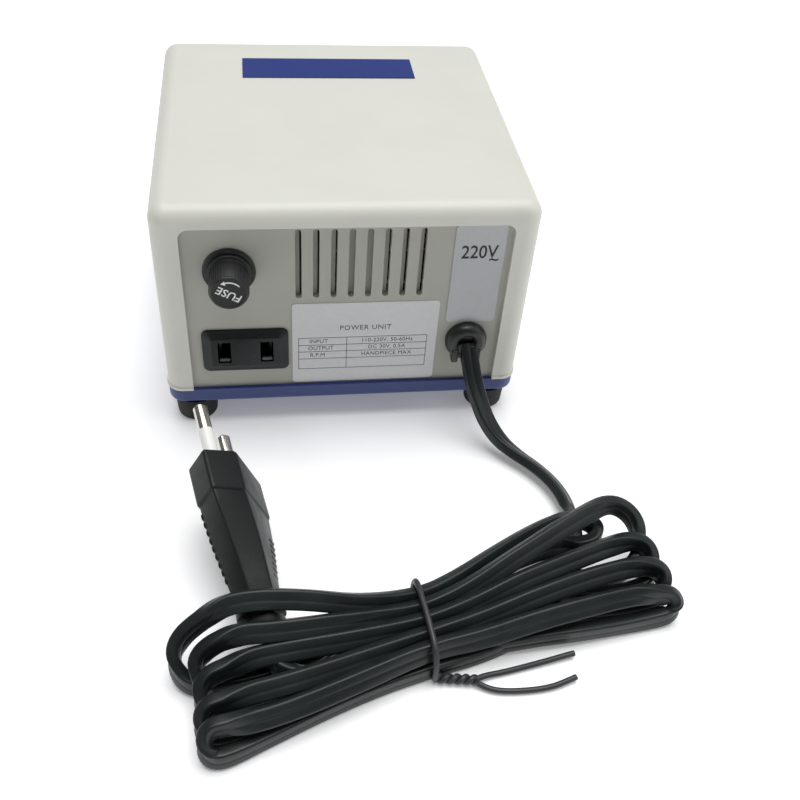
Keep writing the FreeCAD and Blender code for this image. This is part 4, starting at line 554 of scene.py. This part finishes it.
def glass_finish():
    material, tree, shader = finish("fuse_glass_clear", (0.93, 0.97, 0.96), 0.03)
    shader.inputs["Transmission Weight"].default_value = 1.0
    shader.inputs["IOR"].default_value = 1.5
    relief(tree, shader, noise(tree, object_place(tree), 300.0), 0.00001)
    return material


def board_finish():
    """Green circuit board with paler tracks."""
    material, tree, shader = finish("board_laminate", (0.03, 0.15, 0.06), 0.38)
    place = object_place(tree)
    tracks = node(tree, "ShaderNodeTexBrick", Scale=190.0)
    tracks.inputs["Mortar Size"].default_value = 0.06
    tracks.inputs["Color1"].default_value = (0.020, 0.120, 0.045, 1.0)
    tracks.inputs["Color2"].default_value = (0.028, 0.150, 0.060, 1.0)
    tracks.inputs["Mortar"].default_value = (0.075, 0.270, 0.110, 1.0)
    tree.links.new(place, tracks.inputs["Vector"])
    tree.links.new(tracks.outputs["Color"], shader.inputs["Base Color"])
    relief(tree, shader, tracks.outputs["Fac"], 0.00003, 0.5)
    return material


CREAM = (0.690, 0.690, 0.624)
# Panel colour: a greyer cream than the casing, darkened further as painted shade for the rear side,
# which faces away from the lamps.
PANEL_CREAM_AND_SHADE = (0.430, 0.430, 0.378)
BLACK = (0.0135, 0.0145, 0.0150)
casing_cream = moulded("casing_cream", CREAM, 0.46, depth=0.00002, wear=0.06)
# Panel material: the panels' greyer cream with painted shade in its colour.
panel_cream_and_shade = moulded("panel_cream_and_shade", PANEL_CREAM_AND_SHADE, 0.52, depth=0.00003, wear=0.07)
tray_blue = moulded("tray_blue", (0.026, 0.046, 0.190), 0.40, wear=0.12)
badge_blue = moulded("badge_blue", (0.022, 0.042, 0.210), 0.34, depth=0.000006, wear=0.08)
plate_silver = foil_label("plate_silver", (0.650, 0.652, 0.652), 0.42, 0.12)
volt_silver = foil_label("volt_silver", (0.480, 0.484, 0.496), 0.40, 0.25)
ink_black = printed_ink("ink_black", (0.010, 0.010, 0.011))
ink_white = printed_ink("ink_white", (0.62, 0.62, 0.62))
ink_light = printed_ink("ink_light", (0.68, 0.69, 0.69))
black_moulding = moulded("black_moulding", BLACK, 0.36, wear=0.22, specular=0.55)
black_matt = moulded("black_matt", (0.0155, 0.0165, 0.0165), 0.50, depth=0.00005, wear=0.2,
                     specular=0.45)
plug_black = moulded("plug_black", (0.0085, 0.0112, 0.0108), 0.46, depth=0.00004, wear=0.22,
                     specular=0.26)
black_gloss = moulded("black_gloss", (0.012, 0.012, 0.013), 0.20, depth=0.000004, wear=0.15)
outlet_black = moulded("outlet_black", (0.0060, 0.0082, 0.0086), 0.30, depth=0.000008, wear=0.2,
                       specular=0.30)
foot_rubber = moulded("foot_rubber", (0.022, 0.022, 0.022), 0.72, depth=0.00008, wear=0.25,
                      specular=0.35)
cord_sheath = cord_finish()
tie_plastic = moulded("tie_plastic", (0.034, 0.036, 0.038), 0.46, 1500.0, 0.00004, 0.3)
pin_nickel = metal("pin_nickel", (0.66, 0.63, 0.58), 0.22)
nickel = metal("turned_nickel", (0.66, 0.65, 0.62), 0.24)
zinc_steel = metal("zinc_steel", (0.52, 0.52, 0.51), 0.36)
brushed_aluminium = metal("brushed_aluminium", (0.66, 0.67, 0.68), 0.34, (0.15, 3.0, 3.0))
contact_brass = metal("contact_brass", (0.62, 0.46, 0.20), 0.30)
contact_tin = metal("contact_tin", (0.11, 0.11, 0.11), 0.40)
sleeve_white = moulded("sleeve_white", (0.80, 0.80, 0.77), 0.38, depth=0.00001, wear=0.08)
nylon_white = moulded("nylon_white", (0.72, 0.71, 0.66), 0.45, wear=0.08)
lens_red = moulded("lens_red", (0.42, 0.012, 0.010), 0.14, depth=0.000004, wear=0.12)
button_red = moulded("button_red", (0.36, 0.018, 0.014), 0.34, wear=0.12)
fuse_clear = glass_finish()
board_green = board_finish()
winding_tape = striped("winding_tape", (0.020, 0.016, 0.012), (0.070, 0.052, 0.030), 0.40, 0.9,
                       (0.0, math.pi / 2, 0.0))
core_laminations = striped("core_laminations", (0.035, 0.036, 0.040), (0.17, 0.17, 0.18), 0.50,
                           0.5, (0.0, 0.0, math.pi / 2), 0.8)
capacitor_blue = moulded("capacitor_sleeve", (0.016, 0.028, 0.085), 0.26, depth=0.000006)

FINISHES = {
    casing_cream: ["top_cover"],
    panel_cream_and_shade: ["rear_panel", "front_panel"],
    tray_blue: ["base_tray"],
    badge_blue: ["name_badge"],
    plate_silver: ["rating_plate"],
    volt_silver: ["voltage_label"],
    black_moulding: ["fuse_holder_body", "fuse_holder_nut", "fuse_carrier",
                     "socket_insert", "power_transistor",
                     "rectifier_bridge", "breaker_body"],
    black_matt: ["speed_knob", "power_switch_frame", "direction_switch_frame",
                 "control_switch_frame"],
    outlet_black: ["foot_control_outlet"],
    black_gloss: ["power_switch_rocker", "direction_switch_rocker", "control_switch_rocker",
                  "relay"],
    foot_rubber: ["rubber_feet"],
    pin_nickel: ["plug_pins", "fuse_end_caps"],
    nickel: ["handpiece_socket", "handpiece_socket_nut", "breaker_nut", "potentiometer_nut"],
    zinc_steel: ["foot_screws", "potentiometer_body", "transformer_bracket",
                 "transformer_screws", "board_screws"],
    brushed_aluminium: ["knob_cap", "potentiometer_shaft", "heat_sink"],
    contact_brass: ["socket_contacts"],
    contact_tin: ["outlet_contacts"],
    sleeve_white: ["plug_pin_sleeves"],
    nylon_white: ["board_standoffs", "transformer_bobbin"],
    lens_red: ["power_lamp"],
    button_red: ["breaker_button"],
    fuse_clear: ["fuse_glass"],
    board_green: ["circuit_board"],
    winding_tape: ["primary_winding", "secondary_winding"],
    core_laminations: ["transformer_core"],
    capacitor_blue: ["smoothing_capacitor"],
}
for material, names in FINISHES.items():
    for name in names:
        nodes[name].data.materials.clear()
        nodes[name].data.materials.append(material)


def give(piece, material, body):
    piece.data.materials.clear()
    piece.data.materials.append(material)
    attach(piece, body)
    return piece


# Mains plug: a six-sided head, a waisted grip with finger ribs and a slotted cord sleeve

HEAD = 12.75
BODY = 36.0
SHOULDER_SHARE = 0.6


def hexagon(half, shoulder, thick):
    return [(half, 0), (shoulder, thick), (-shoulder, thick), (-half, 0), (-shoulder, -thick),
            (shoulder, -thick)]


def lofted(name, rings):
    """A closed piece through rings of equal count, each a list of (x, y) at a height."""
    vertices = []
    count = len(rings[0][1])
    for height, ring in rings:
        vertices += [(x * MM, y * MM, height * MM) for x, y in ring]
    faces = [tuple(range(count))[::-1]]
    for level in range(len(rings) - 1):
        for turn in range(count):
            other = (turn + 1) % count
            base = level * count
            faces.append((base + turn, base + other, base + count + other, base + count + turn))
    last = (len(rings) - 1) * count
    faces.append(tuple(range(last, last + count)))
    mesh = bpy.data.meshes.new(name)
    mesh.from_pydata(vertices, [], faces)
    piece = bpy.data.objects.new(name, mesh)
    bpy.context.scene.collection.objects.link(piece)
    return outward(piece)


GRIP = ((0.0, 16.3, 6.5), (0.10, 15.0, 6.5), (0.20, 13.3, 6.45), (0.32, 11.4, 6.35),
        (0.45, 9.3, 6.05), (0.60, 7.2, 5.65), (0.76, 5.9, 5.25))


def grip_size(drop):
    """Half width and half thickness of the grip at a distance behind the head."""
    share = drop / BODY
    for (s0, h0, t0), (s1, h1, t1) in zip(GRIP, GRIP[1:]):
        if share <= s1:
            part = (share - s0) / (s1 - s0)
            return h0 + (h1 - h0) * part, t0 + (t1 - t0) * part
    return GRIP[-1][1:]


def make_plug():
    head = lofted("plug_head", [
        (-HEAD, hexagon(17.0, 10.46, 6.9)),
        (0.0, hexagon(17.0, 10.46, 6.9)),
    ])
    bevelled(head, 1.0, 5, 20)
    grip = lofted("plug_grip", [(-HEAD - BODY * share, hexagon(half, half * SHOULDER_SHARE, thick))
                                for share, half, thick in GRIP[::-1]]
                  + [(-HEAD + 1.0, hexagon(16.3, 9.9, 6.5))])
    bevelled(grip, 0.55, 3, 20)
    parts = [head, grip]
    # finger ribs stand proud along two opposite edges of the grip
    for side, first, pitch, count, size in ((1, 2.4, 2.2, 9, (4.6, 1.5, 1.7)),
                                            (-1, 9.0, 1.9, 7, (3.8, 1.3, 1.2))):
        for index in range(count):
            drop = first + index * pitch
            half, thick = grip_size(drop)
            sunk = 0.42 + 0.02 * index
            rib = box_piece("plug_rib", (side * (half * SHOULDER_SHARE - 2.0),
                                         -side * (thick - sunk), -HEAD - drop), size)
            parts.append(bevelled(rib, 0.42, 2))
    rings = []
    steps = ((0.72, 5.7, 5.3), (0.775, 5.6, 5.3), (0.785, 4.8, 4.4), (0.800, 4.8, 4.4),
             (0.810, 6.0, 6.0), (0.865, 6.1, 6.1), (0.875, 4.5, 4.5), (0.895, 4.5, 4.5),
             (0.905, 5.4, 5.6), (0.965, 5.0, 5.2), (1.0, 4.2, 4.3))
    for share, half, thick in steps:
        ring = []
        for turn in range(32):
            angle = math.tau * turn / 32
            c, s = math.cos(angle), math.sin(angle)
            ring.append((half * math.copysign(abs(c) ** 0.7, c),
                         thick * math.copysign(abs(s) ** 0.7, s)))
        rings.append((-HEAD - BODY * share, ring))
    sleeve = lofted("plug_sleeve", rings[::-1])
    bevelled(sleeve, 0.2, 2, 25)
    spine = box_piece("plug_sleeve_spine", (0, 0, -HEAD - BODY * 0.87), (10.2, 2.2, BODY * 0.20))
    bevelled(spine, 0.4, 2)
    face = lofted("plug_face_ridge", [
        (-0.4, hexagon(14.8, 8.9, 5.0)),
        (0.25, hexagon(14.6, 8.8, 4.9)),
    ])
    bevelled(face, 0.15, 2, 20)
    plug = welded("plug_shell", parts + [sleeve, spine, face])
    settle(plug, placed(PLUG_FACE, PLUG))
    smooth(plug, 28)
    give(plug, plug_black, "housing")
    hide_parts("plug_body")
    return plug


plug_shell = make_plug()


# Twist tie: one turn of sheathed wire round the hank's waist, twisted, with two loose ends

def wire(name, points, radius, closed=False):
    data = bpy.data.curves.new(name, "CURVE")
    data.dimensions = "3D"
    data.resolution_u = 8
    data.bevel_depth = radius * MM
    data.bevel_resolution = 5
    data.use_fill_caps = True
    spline = data.splines.new("NURBS")
    spline.points.add(len(points) - 1)
    for point, place in zip(spline.points, points):
        point.co = (place[0] * MM, place[1] * MM, place[2] * MM, 1.0)
    spline.order_u = 3
    spline.use_endpoint_u = not closed
    spline.use_cyclic_u = closed
    piece = bpy.data.objects.new(name, data)
    bpy.context.scene.collection.objects.link(piece)
    pick(piece)
    bpy.ops.object.convert(target="MESH")
    return active(name)


def tie_x(y):
    return -12.0 - (y - 131.0) * 0.1


def make_twist_tie():
    turn = [(130.6, 1.2), (129.4, 5.0), (129.6, 10.5), (131.6, 13.4), (137.0, 14.1),
            (144.0, 14.0), (150.5, 13.2), (153.0, 11.0), (154.6, 6.5), (154.2, 1.9), (150.0, 0.9),
            (140.0, 0.85)]
    pieces = [wire("tie_turn", [(tie_x(y), y, z) for y, z in turn], 0.80, True)]
    for phase in (0.0, math.pi):
        strand = []
        for step in range(26):
            share = step / 25
            middle = Vector((-14.2 - 11.3 * share, 153.3 + 1.7 * share, 1.75))
            angle = phase + math.tau * 2.6 * share
            strand.append((middle.x, middle.y + 0.72 * math.cos(angle),
                           middle.z + 0.72 * math.sin(angle)))
        pieces.append(wire("tie_twist", strand, 0.76))
    pieces.append(wire("tie_end", [(-25.0, 154.6, 1.6), (-27.6, 153.6, 1.3), (-32.4, 153.0, 1.0),
                                   (-42.6, 151.2, 1.2), (-51.4, 149.5, 1.5),
                                   (-52.4, 149.3, 1.5)], 0.78))
    pieces.append(wire("tie_end", [(-25.2, 155.6, 1.4), (-27.6, 157.4, 1.2), (-33.1, 158.6, 1.0),
                                   (-43.5, 158.6, 1.1), (-50.4, 156.4, 1.3),
                                   (-51.2, 156.1, 1.3)], 0.78))
    tie = welded("twist_tie_wire", pieces)
    smooth(tie, 40)
    give(tie, tie_plastic, "housing")
    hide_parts("twist_tie")
    return tie


twist_tie_wire = make_twist_tie()
smooth(mains_cord, 50)
give(mains_cord, cord_sheath, "housing")
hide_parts("mains_cord_lead", "mains_cord_hank", "mains_cord_tail")


# Fuse cap, cord bush and printed faces of the rear side

def around(pieces, count, sweep=math.tau):
    """Copies of the pieces, each with its own mesh, set in a ring about Z."""
    made = list(pieces)
    for index in range(1, count):
        turn = Matrix.Rotation(sweep * index / count, 4, "Z")
        for piece in pieces:
            twin = piece.copy()
            twin.data = piece.data.copy()
            twin.data.transform(turn)
            bpy.context.scene.collection.objects.link(twin)
            made.append(twin)
    return made


def arc_strip(name, radius, width, start, end, height, depth=0.04):
    """A thin flat strip bent about Z, from one angle to another."""
    drawing = bpy.data.meshes.new(name)
    low, high = radius - width / 2, radius + width / 2
    drawing.from_pydata([(low * MM, 0, height * MM), (high * MM, 0, height * MM)], [(0, 1)], [])
    piece = bpy.data.objects.new(name, drawing)
    bpy.context.scene.collection.objects.link(piece)
    pick(piece)
    bpy.ops.object.mode_set(mode="EDIT")
    bpy.ops.mesh.select_all(action="SELECT")
    bpy.ops.mesh.spin(steps=24, angle=math.radians(start - end), center=(0, 0, 0), axis=(0, 0, 1))
    bpy.ops.mesh.select_all(action="SELECT")
    bpy.ops.mesh.extrude_region_move(TRANSFORM_OT_translate={"value": (0, 0, depth * MM)})
    bpy.ops.object.mode_set(mode="OBJECT")
    settle(piece, Matrix.Rotation(math.radians(start), 4, "Z"))
    return outward(piece)


def prism(name, sides, radius, low, high, centre, spin):
    """A small plate with straight sides, its first corner turned by the spin."""
    bpy.ops.mesh.primitive_cylinder_add(
        vertices=sides, radius=radius * MM, depth=(high - low) * MM,
        location=(centre[0] * MM, centre[1] * MM, (low + high) / 2 * MM),
        rotation=(0, 0, math.radians(spin)))
    return settle(active(name))


FACE_Y = 53.7
LABEL_Y = 53.95
FUSE_AT = (34.0, 54.9, 58.1)
BUSH_AT = (-37.0, 30.5)
OUTLET_X = 30.6
SLOT_SHIFT = 6.35
VENT_FIRST = 14.5
VENT_PITCH = 5.08


def make_fuse_cap():
    cap = turned("fuse_cap_shell", [
        (0.0, 2.4), (4.2, 2.4), (4.2, 0.0), (5.2, 0.0), (6.25, 0.05), (6.35, 0.2), (6.35, 0.85),
        (6.2, 1.05), (5.5, 1.15), (5.35, 1.35), (5.4, 9.3), (5.25, 9.75), (4.95, 9.98),
        (4.55, 10.0), (4.4, 9.82), (0.0, 9.82)], 96)
    rib = box_piece("fuse_cap_rib", (5.36, 0, 5.35), (0.5, 0.42, 7.7))
    bevelled(rib, 0.12, 2)
    cap = welded("fuse_cap_shell", [cap] + around([rib], 44))
    bar = box_piece("fuse_cap_bar", (0.0, 5.0, 9.4), (3.6, 0.8, 1.0))
    bevelled(bar, 0.2, 2)
    cap = welded("fuse_cap_shell", [cap, bar])
    settle(cap, placed(FUSE_AT, REAR))
    smooth(cap, 35)
    give(cap, black_matt, "fuse_bayonet")
    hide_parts("fuse_cap")
    words = lettering("fuse_cap_word", "FUSE", 3.5, (0, -0.15, 9.86), Matrix.Identity(3),
                      0.06, 1.02, 151.0, 0.98, 0.012)
    arc = arc_strip("fuse_cap_arrow", 3.75, 0.42, 38, 104, 9.83, 0.06)
    tip = prism("fuse_cap_tip", 3, 0.85, 9.83, 9.89, (-1.35, 3.45), 100)
    print_ = welded("fuse_cap_print", [words, arc, tip])
    settle(print_, placed(FUSE_AT, REAR))
    give(print_, ink_light, "fuse_bayonet")


def make_fuse_flange():
    """A second, smaller step on the holder's flange, under the cap."""
    step = turned("fuse_flange_step", [
        (4.35, 0.98), (7.0, 0.98), (7.05, 1.02), (6.95, 1.14), (4.35, 1.14)], 72)
    settle(step, placed((FUSE_AT[0], FACE_Y, FUSE_AT[2]), REAR))
    smooth(step, 35)
    give(step, black_moulding, "housing")


def make_grommet():
    ring = turned("bush_dome", [
        (0.0, 1.5), (2.1, 1.5), (2.5, 2.5), (3.2, 3.35), (4.2, 3.7), (5.2, 3.45), (6.05, 2.7),
        (6.5, 1.6), (6.55, 0.8), (6.45, 0.02), (4.9, 0.02), (4.9, -2.2), (5.2, -2.3),
        (5.2, -4.2), (0.0, -4.2)], 72)
    parts = [ring]
    for side, low, size in ((1, -4.4, 4.4), (-1, -5.2, 5.2)):
        lug = box_piece("bush_lug", (side * 3.5, low / 2 - 1.5, 2.6), (2.1, size - 0.6, 3.4))
        parts.append(bevelled(lug, 0.5, 3))
    throat = box_piece("bush_throat", (-0.3, -2.0, 2.2), (5.4, 3.6, 2.6))
    parts.append(bevelled(throat, 0.7, 3))
    bush = welded("cord_bush", parts)
    settle(bush, placed((BUSH_AT[0], FACE_Y, BUSH_AT[1]), REAR))
    smooth(bush, 38)
    give(bush, black_moulding, "housing")
    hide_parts("cord_grommet")


def make_vent_screen():
    """Upright slats just behind the vents; each hides the greater part of its slot."""
    slats = []
    for index, dark in enumerate((0.30, 0.30, 0.30, 0.06, 0.0, 0.36, 0.46, 0.48)):
        middle = VENT_FIRST - VENT_PITCH * index
        shift = 2.4 * (24.8 - middle) / 227.0
        start = middle + 1.5
        end = middle + 0.9 - 1.8 * (1.0 - dark) - shift - (0.5 if dark == 0.0 else 0.0)
        slat = box_piece("vent_slat", ((start + end) / 2, 51.2, 59.4),
                         (start - end, 0.7, 26.0))
        slats.append(bevelled(slat, 0.15, 2))
    rail = box_piece("vent_rail", (-3.3, 50.7, 46.0), (41.0, 0.9, 2.0))
    screen = welded("vent_screen", slats + [bevelled(rail, 0.15, 2)])
    give(screen, panel_cream_and_shade, "housing")


def make_contact_lips():
    """Bright lead-in lips of the outlet's contacts at the foot of each slot."""
    lips = []
    for side in (-1, 1):
        lip = box_piece("contact_lip", (OUTLET_X + side * SLOT_SHIFT, 54.2, 25.7), (3.2, 1.3, 1.3))
        lips.append(bevelled(lip, 0.25, 2))
    give(welded("contact_lips", lips), contact_tin, "housing")


def printed(name, parts, ink, body):
    piece = welded(name, parts)
    give(piece, ink, body)
    return piece


def make_rating_print():
    def words(text, x, z, size, spacing=1.05, condense=0.92, bold=0.0):
        return lettering("plate_words", text, size, (x, LABEL_Y + 0.02, z), REAR, 0.03, spacing,
                         0.0, condense, bold)

    def rule(x0, x1, z0, z1):
        return box_piece("plate_rule", ((x0 + x1) / 2, LABEL_Y + 0.015, (z0 + z1) / 2),
                         (abs(x1 - x0) + 0.17, 0.03, abs(z1 - z0) + 0.17))

    parts = [words("POWER UNIT", -5.6, 36.2, 2.5, 1.12, 0.95)]
    parts += [rule(14.7, -24.7, z, z) for z in (32.6, 29.8, 27.2, 24.4, 20.4)]
    parts += [rule(x, x, 32.6, 20.4) for x in (14.7, 0.0, -24.7)]
    parts += [words("INPUT", 8.6, 31.2, 2.1), words("110-220V, 50-60Hz", -12.4, 31.2, 2.1),
              words("OUTPUT", 7.9, 28.5, 2.1), words("DC 30V, 0.5A", -12.4, 28.5, 2.1),
              words("R.P.M", 8.9, 25.8, 2.1), words("HANDPIECE MAX", -12.4, 25.8, 2.1)]
    printed("rating_print", parts, ink_black, "housing")


def make_voltage_print():
    words = lettering("volt_words", "220V", 6.3, (-37.6, LABEL_Y + 0.02, 62.6), REAR,
                      0.03, 1.0, 0.0, 0.82, 0.010)
    wave = lettering("volt_wave", "~", 5.2, (-42.1, LABEL_Y + 0.02, 60.2), REAR, 0.03, 1.0, 0.0,
                     0.95, 0.014)
    printed("voltage_print", [words, wave], ink_black, "housing")


make_fuse_cap()
make_fuse_flange()
make_grommet()
make_vent_screen()
make_contact_lips()
make_rating_print()
make_voltage_print()


# Printed dial and legends of the control side

FRONT_Y = -53.7
DIAL = (-14.0, 48.0)
DIAL_START = 240.0
TICK_STEP = 6.0
TICK_RADIUS = 15.6
NUMBER_RADIUS = 18.7
SWITCH_Z = (61.6, 43.3, 25.0)


def make_dial_print():
    parts = []
    for step in range(51):
        angle = math.radians(DIAL_START - TICK_STEP * step)
        long = 1.5 if step % 5 == 0 else 0.8
        middle = TICK_RADIUS + long / 2
        tick = box_piece("dial_tick", (middle, 0, 0), (long, 0.26 if step % 5 == 0 else 0.18, 0.04))
        tick.data.transform(Matrix.Rotation(angle, 4, "Z"))
        parts.append(tick)
    for number in range(11):
        angle = math.radians(DIAL_START - 5 * TICK_STEP * number)
        parts.append(lettering("dial_number", str(number), 2.6,
                               (NUMBER_RADIUS * math.cos(angle), NUMBER_RADIUS * math.sin(angle),
                                0.0),
                               Matrix.Identity(3), 0.04, 1.0, 0.0, 0.95, 0.02))
    dial = welded("dial_print", parts)
    settle(dial, placed((DIAL[0], FRONT_Y - 0.02, DIAL[1]), FRONT))
    give(dial, ink_black, "housing")


def make_legends():
    def words(text, x, z, size=2.1):
        return lettering("legend", text, size, (x, FRONT_Y - 0.02, z), FRONT, 0.04, 1.08, 0.0, 0.95,
                         0.02)

    parts = [words("POWER", 31.0, SWITCH_Z[0] + 9.15), words("FOOT", 24.6, SWITCH_Z[2] + 9.15),
             words("HAND", 37.4, SWITCH_Z[2] + 9.15), words("REV", 24.6, SWITCH_Z[1] + 9.15),
             words("FWD", 37.4, SWITCH_Z[1] + 9.15), words("SPEED", -14.0, 29.4, 2.3),
             words("RESET", 3.0, 31.4), words("HANDPIECE", -33.5, 36.0)]
    parts.append(arc_strip("off_ring", 0.85, 0.26, 0, 360, 0.0, 0.04))
    settle(parts[-1], placed((18.3, FRONT_Y - 0.02, SWITCH_Z[0]), FRONT))
    parts.append(box_piece("on_bar", (43.7, FRONT_Y - 0.02, SWITCH_Z[0]), (0.28, 0.04, 1.9)))
    printed("control_legends", parts, ink_black, "housing")


def make_pointer():
    """White line from the knob's skirt to its cap, and a short one over the cap's edge."""
    line = box_piece("knob_line", (11.7, 0, 11.22), (2.4, 0.9, 0.12))
    foot = box_piece("knob_skirt_line", (14.3, 0, 2.28), (1.0, 0.9, 0.12))
    pointer = welded("knob_pointer", [line, foot])
    pointer.data.transform(Matrix.Rotation(math.radians(DIAL_START), 4, "Z"))
    settle(pointer, placed((DIAL[0], FRONT_Y, DIAL[1]), FRONT))
    give(pointer, ink_white, "speed_dial")


make_dial_print()
make_legends()
make_pointer()


# Floor, backdrop and light

def stage_finish():
    """Pale floor that the camera sees as white where no shadow falls on it."""
    material = bpy.data.materials.new("studio_floor")
    material.use_nodes = True
    tree = material.node_tree
    tree.nodes.clear()
    out = tree.nodes.new("ShaderNodeOutputMaterial")
    paper = tree.nodes.new("ShaderNodeBsdfDiffuse")
    paper.inputs["Color"].default_value = (0.93, 0.93, 0.94, 1.0)
    lift = tree.nodes.new("ShaderNodeEmission")
    lift.inputs["Color"].default_value = (1.0, 1.0, 1.0, 1.0)
    lift.inputs["Strength"].default_value = 0.20
    both = tree.nodes.new("ShaderNodeAddShader")
    tree.links.new(paper.outputs["BSDF"], both.inputs[0])
    tree.links.new(lift.outputs["Emission"], both.inputs[1])
    tree.links.new(both.outputs["Shader"], out.inputs["Surface"])
    return material


def make_stage():
    bpy.ops.mesh.primitive_plane_add(size=6.0, location=(0, 0, 0))
    floor = active("studio_floor")
    floor.data.materials.append(stage_finish())
    world = bpy.data.worlds.new("studio_air")
    bpy.context.scene.world = world
    world.use_nodes = True
    tree = world.node_tree
    tree.nodes.clear()
    out = tree.nodes.new("ShaderNodeOutputWorld")
    soft = tree.nodes.new("ShaderNodeBackground")
    soft.inputs["Color"].default_value = (0.95, 0.97, 1.0, 1.0)
    soft.inputs["Strength"].default_value = 0.16
    white = tree.nodes.new("ShaderNodeBackground")
    white.inputs["Color"].default_value = (1.0, 1.0, 1.0, 1.0)
    white.inputs["Strength"].default_value = 1.0
    rays = tree.nodes.new("ShaderNodeLightPath")
    seen = tree.nodes.new("ShaderNodeMath")
    seen.operation = "MAXIMUM"
    tree.links.new(rays.outputs["Is Camera Ray"], seen.inputs[0])
    tree.links.new(rays.outputs["Is Transmission Ray"], seen.inputs[1])
    mix = tree.nodes.new("ShaderNodeMixShader")
    tree.links.new(seen.outputs["Value"], mix.inputs["Fac"])
    tree.links.new(soft.outputs["Background"], mix.inputs[1])
    tree.links.new(white.outputs["Background"], mix.inputs[2])
    tree.links.new(mix.outputs["Shader"], out.inputs["Surface"])


def lamp(name, kind, place, target, power):
    data = bpy.data.lights.new(name, kind)
    data.energy = power
    piece = bpy.data.objects.new(name, data)
    bpy.context.scene.collection.objects.link(piece)
    way = Vector(target) - Vector(place)
    piece.matrix_world = (Matrix.Translation(place)
                          @ way.to_track_quat("-Z", "Y").to_matrix().to_4x4())
    return data


make_stage()
sky = lamp("soft_top_light", "SUN", (-0.06, -0.17, 1.1), (0.0, 0.0, 0.0), 2.92)
sky.angle = math.radians(52.0)
side = lamp("side_softbox", "AREA", (-0.9, 0.35, 0.6), (0.0, 0.08, 0.02), 1.6)
side.size = 0.6
bpy.context.scene.view_settings.view_transform = "Standard"
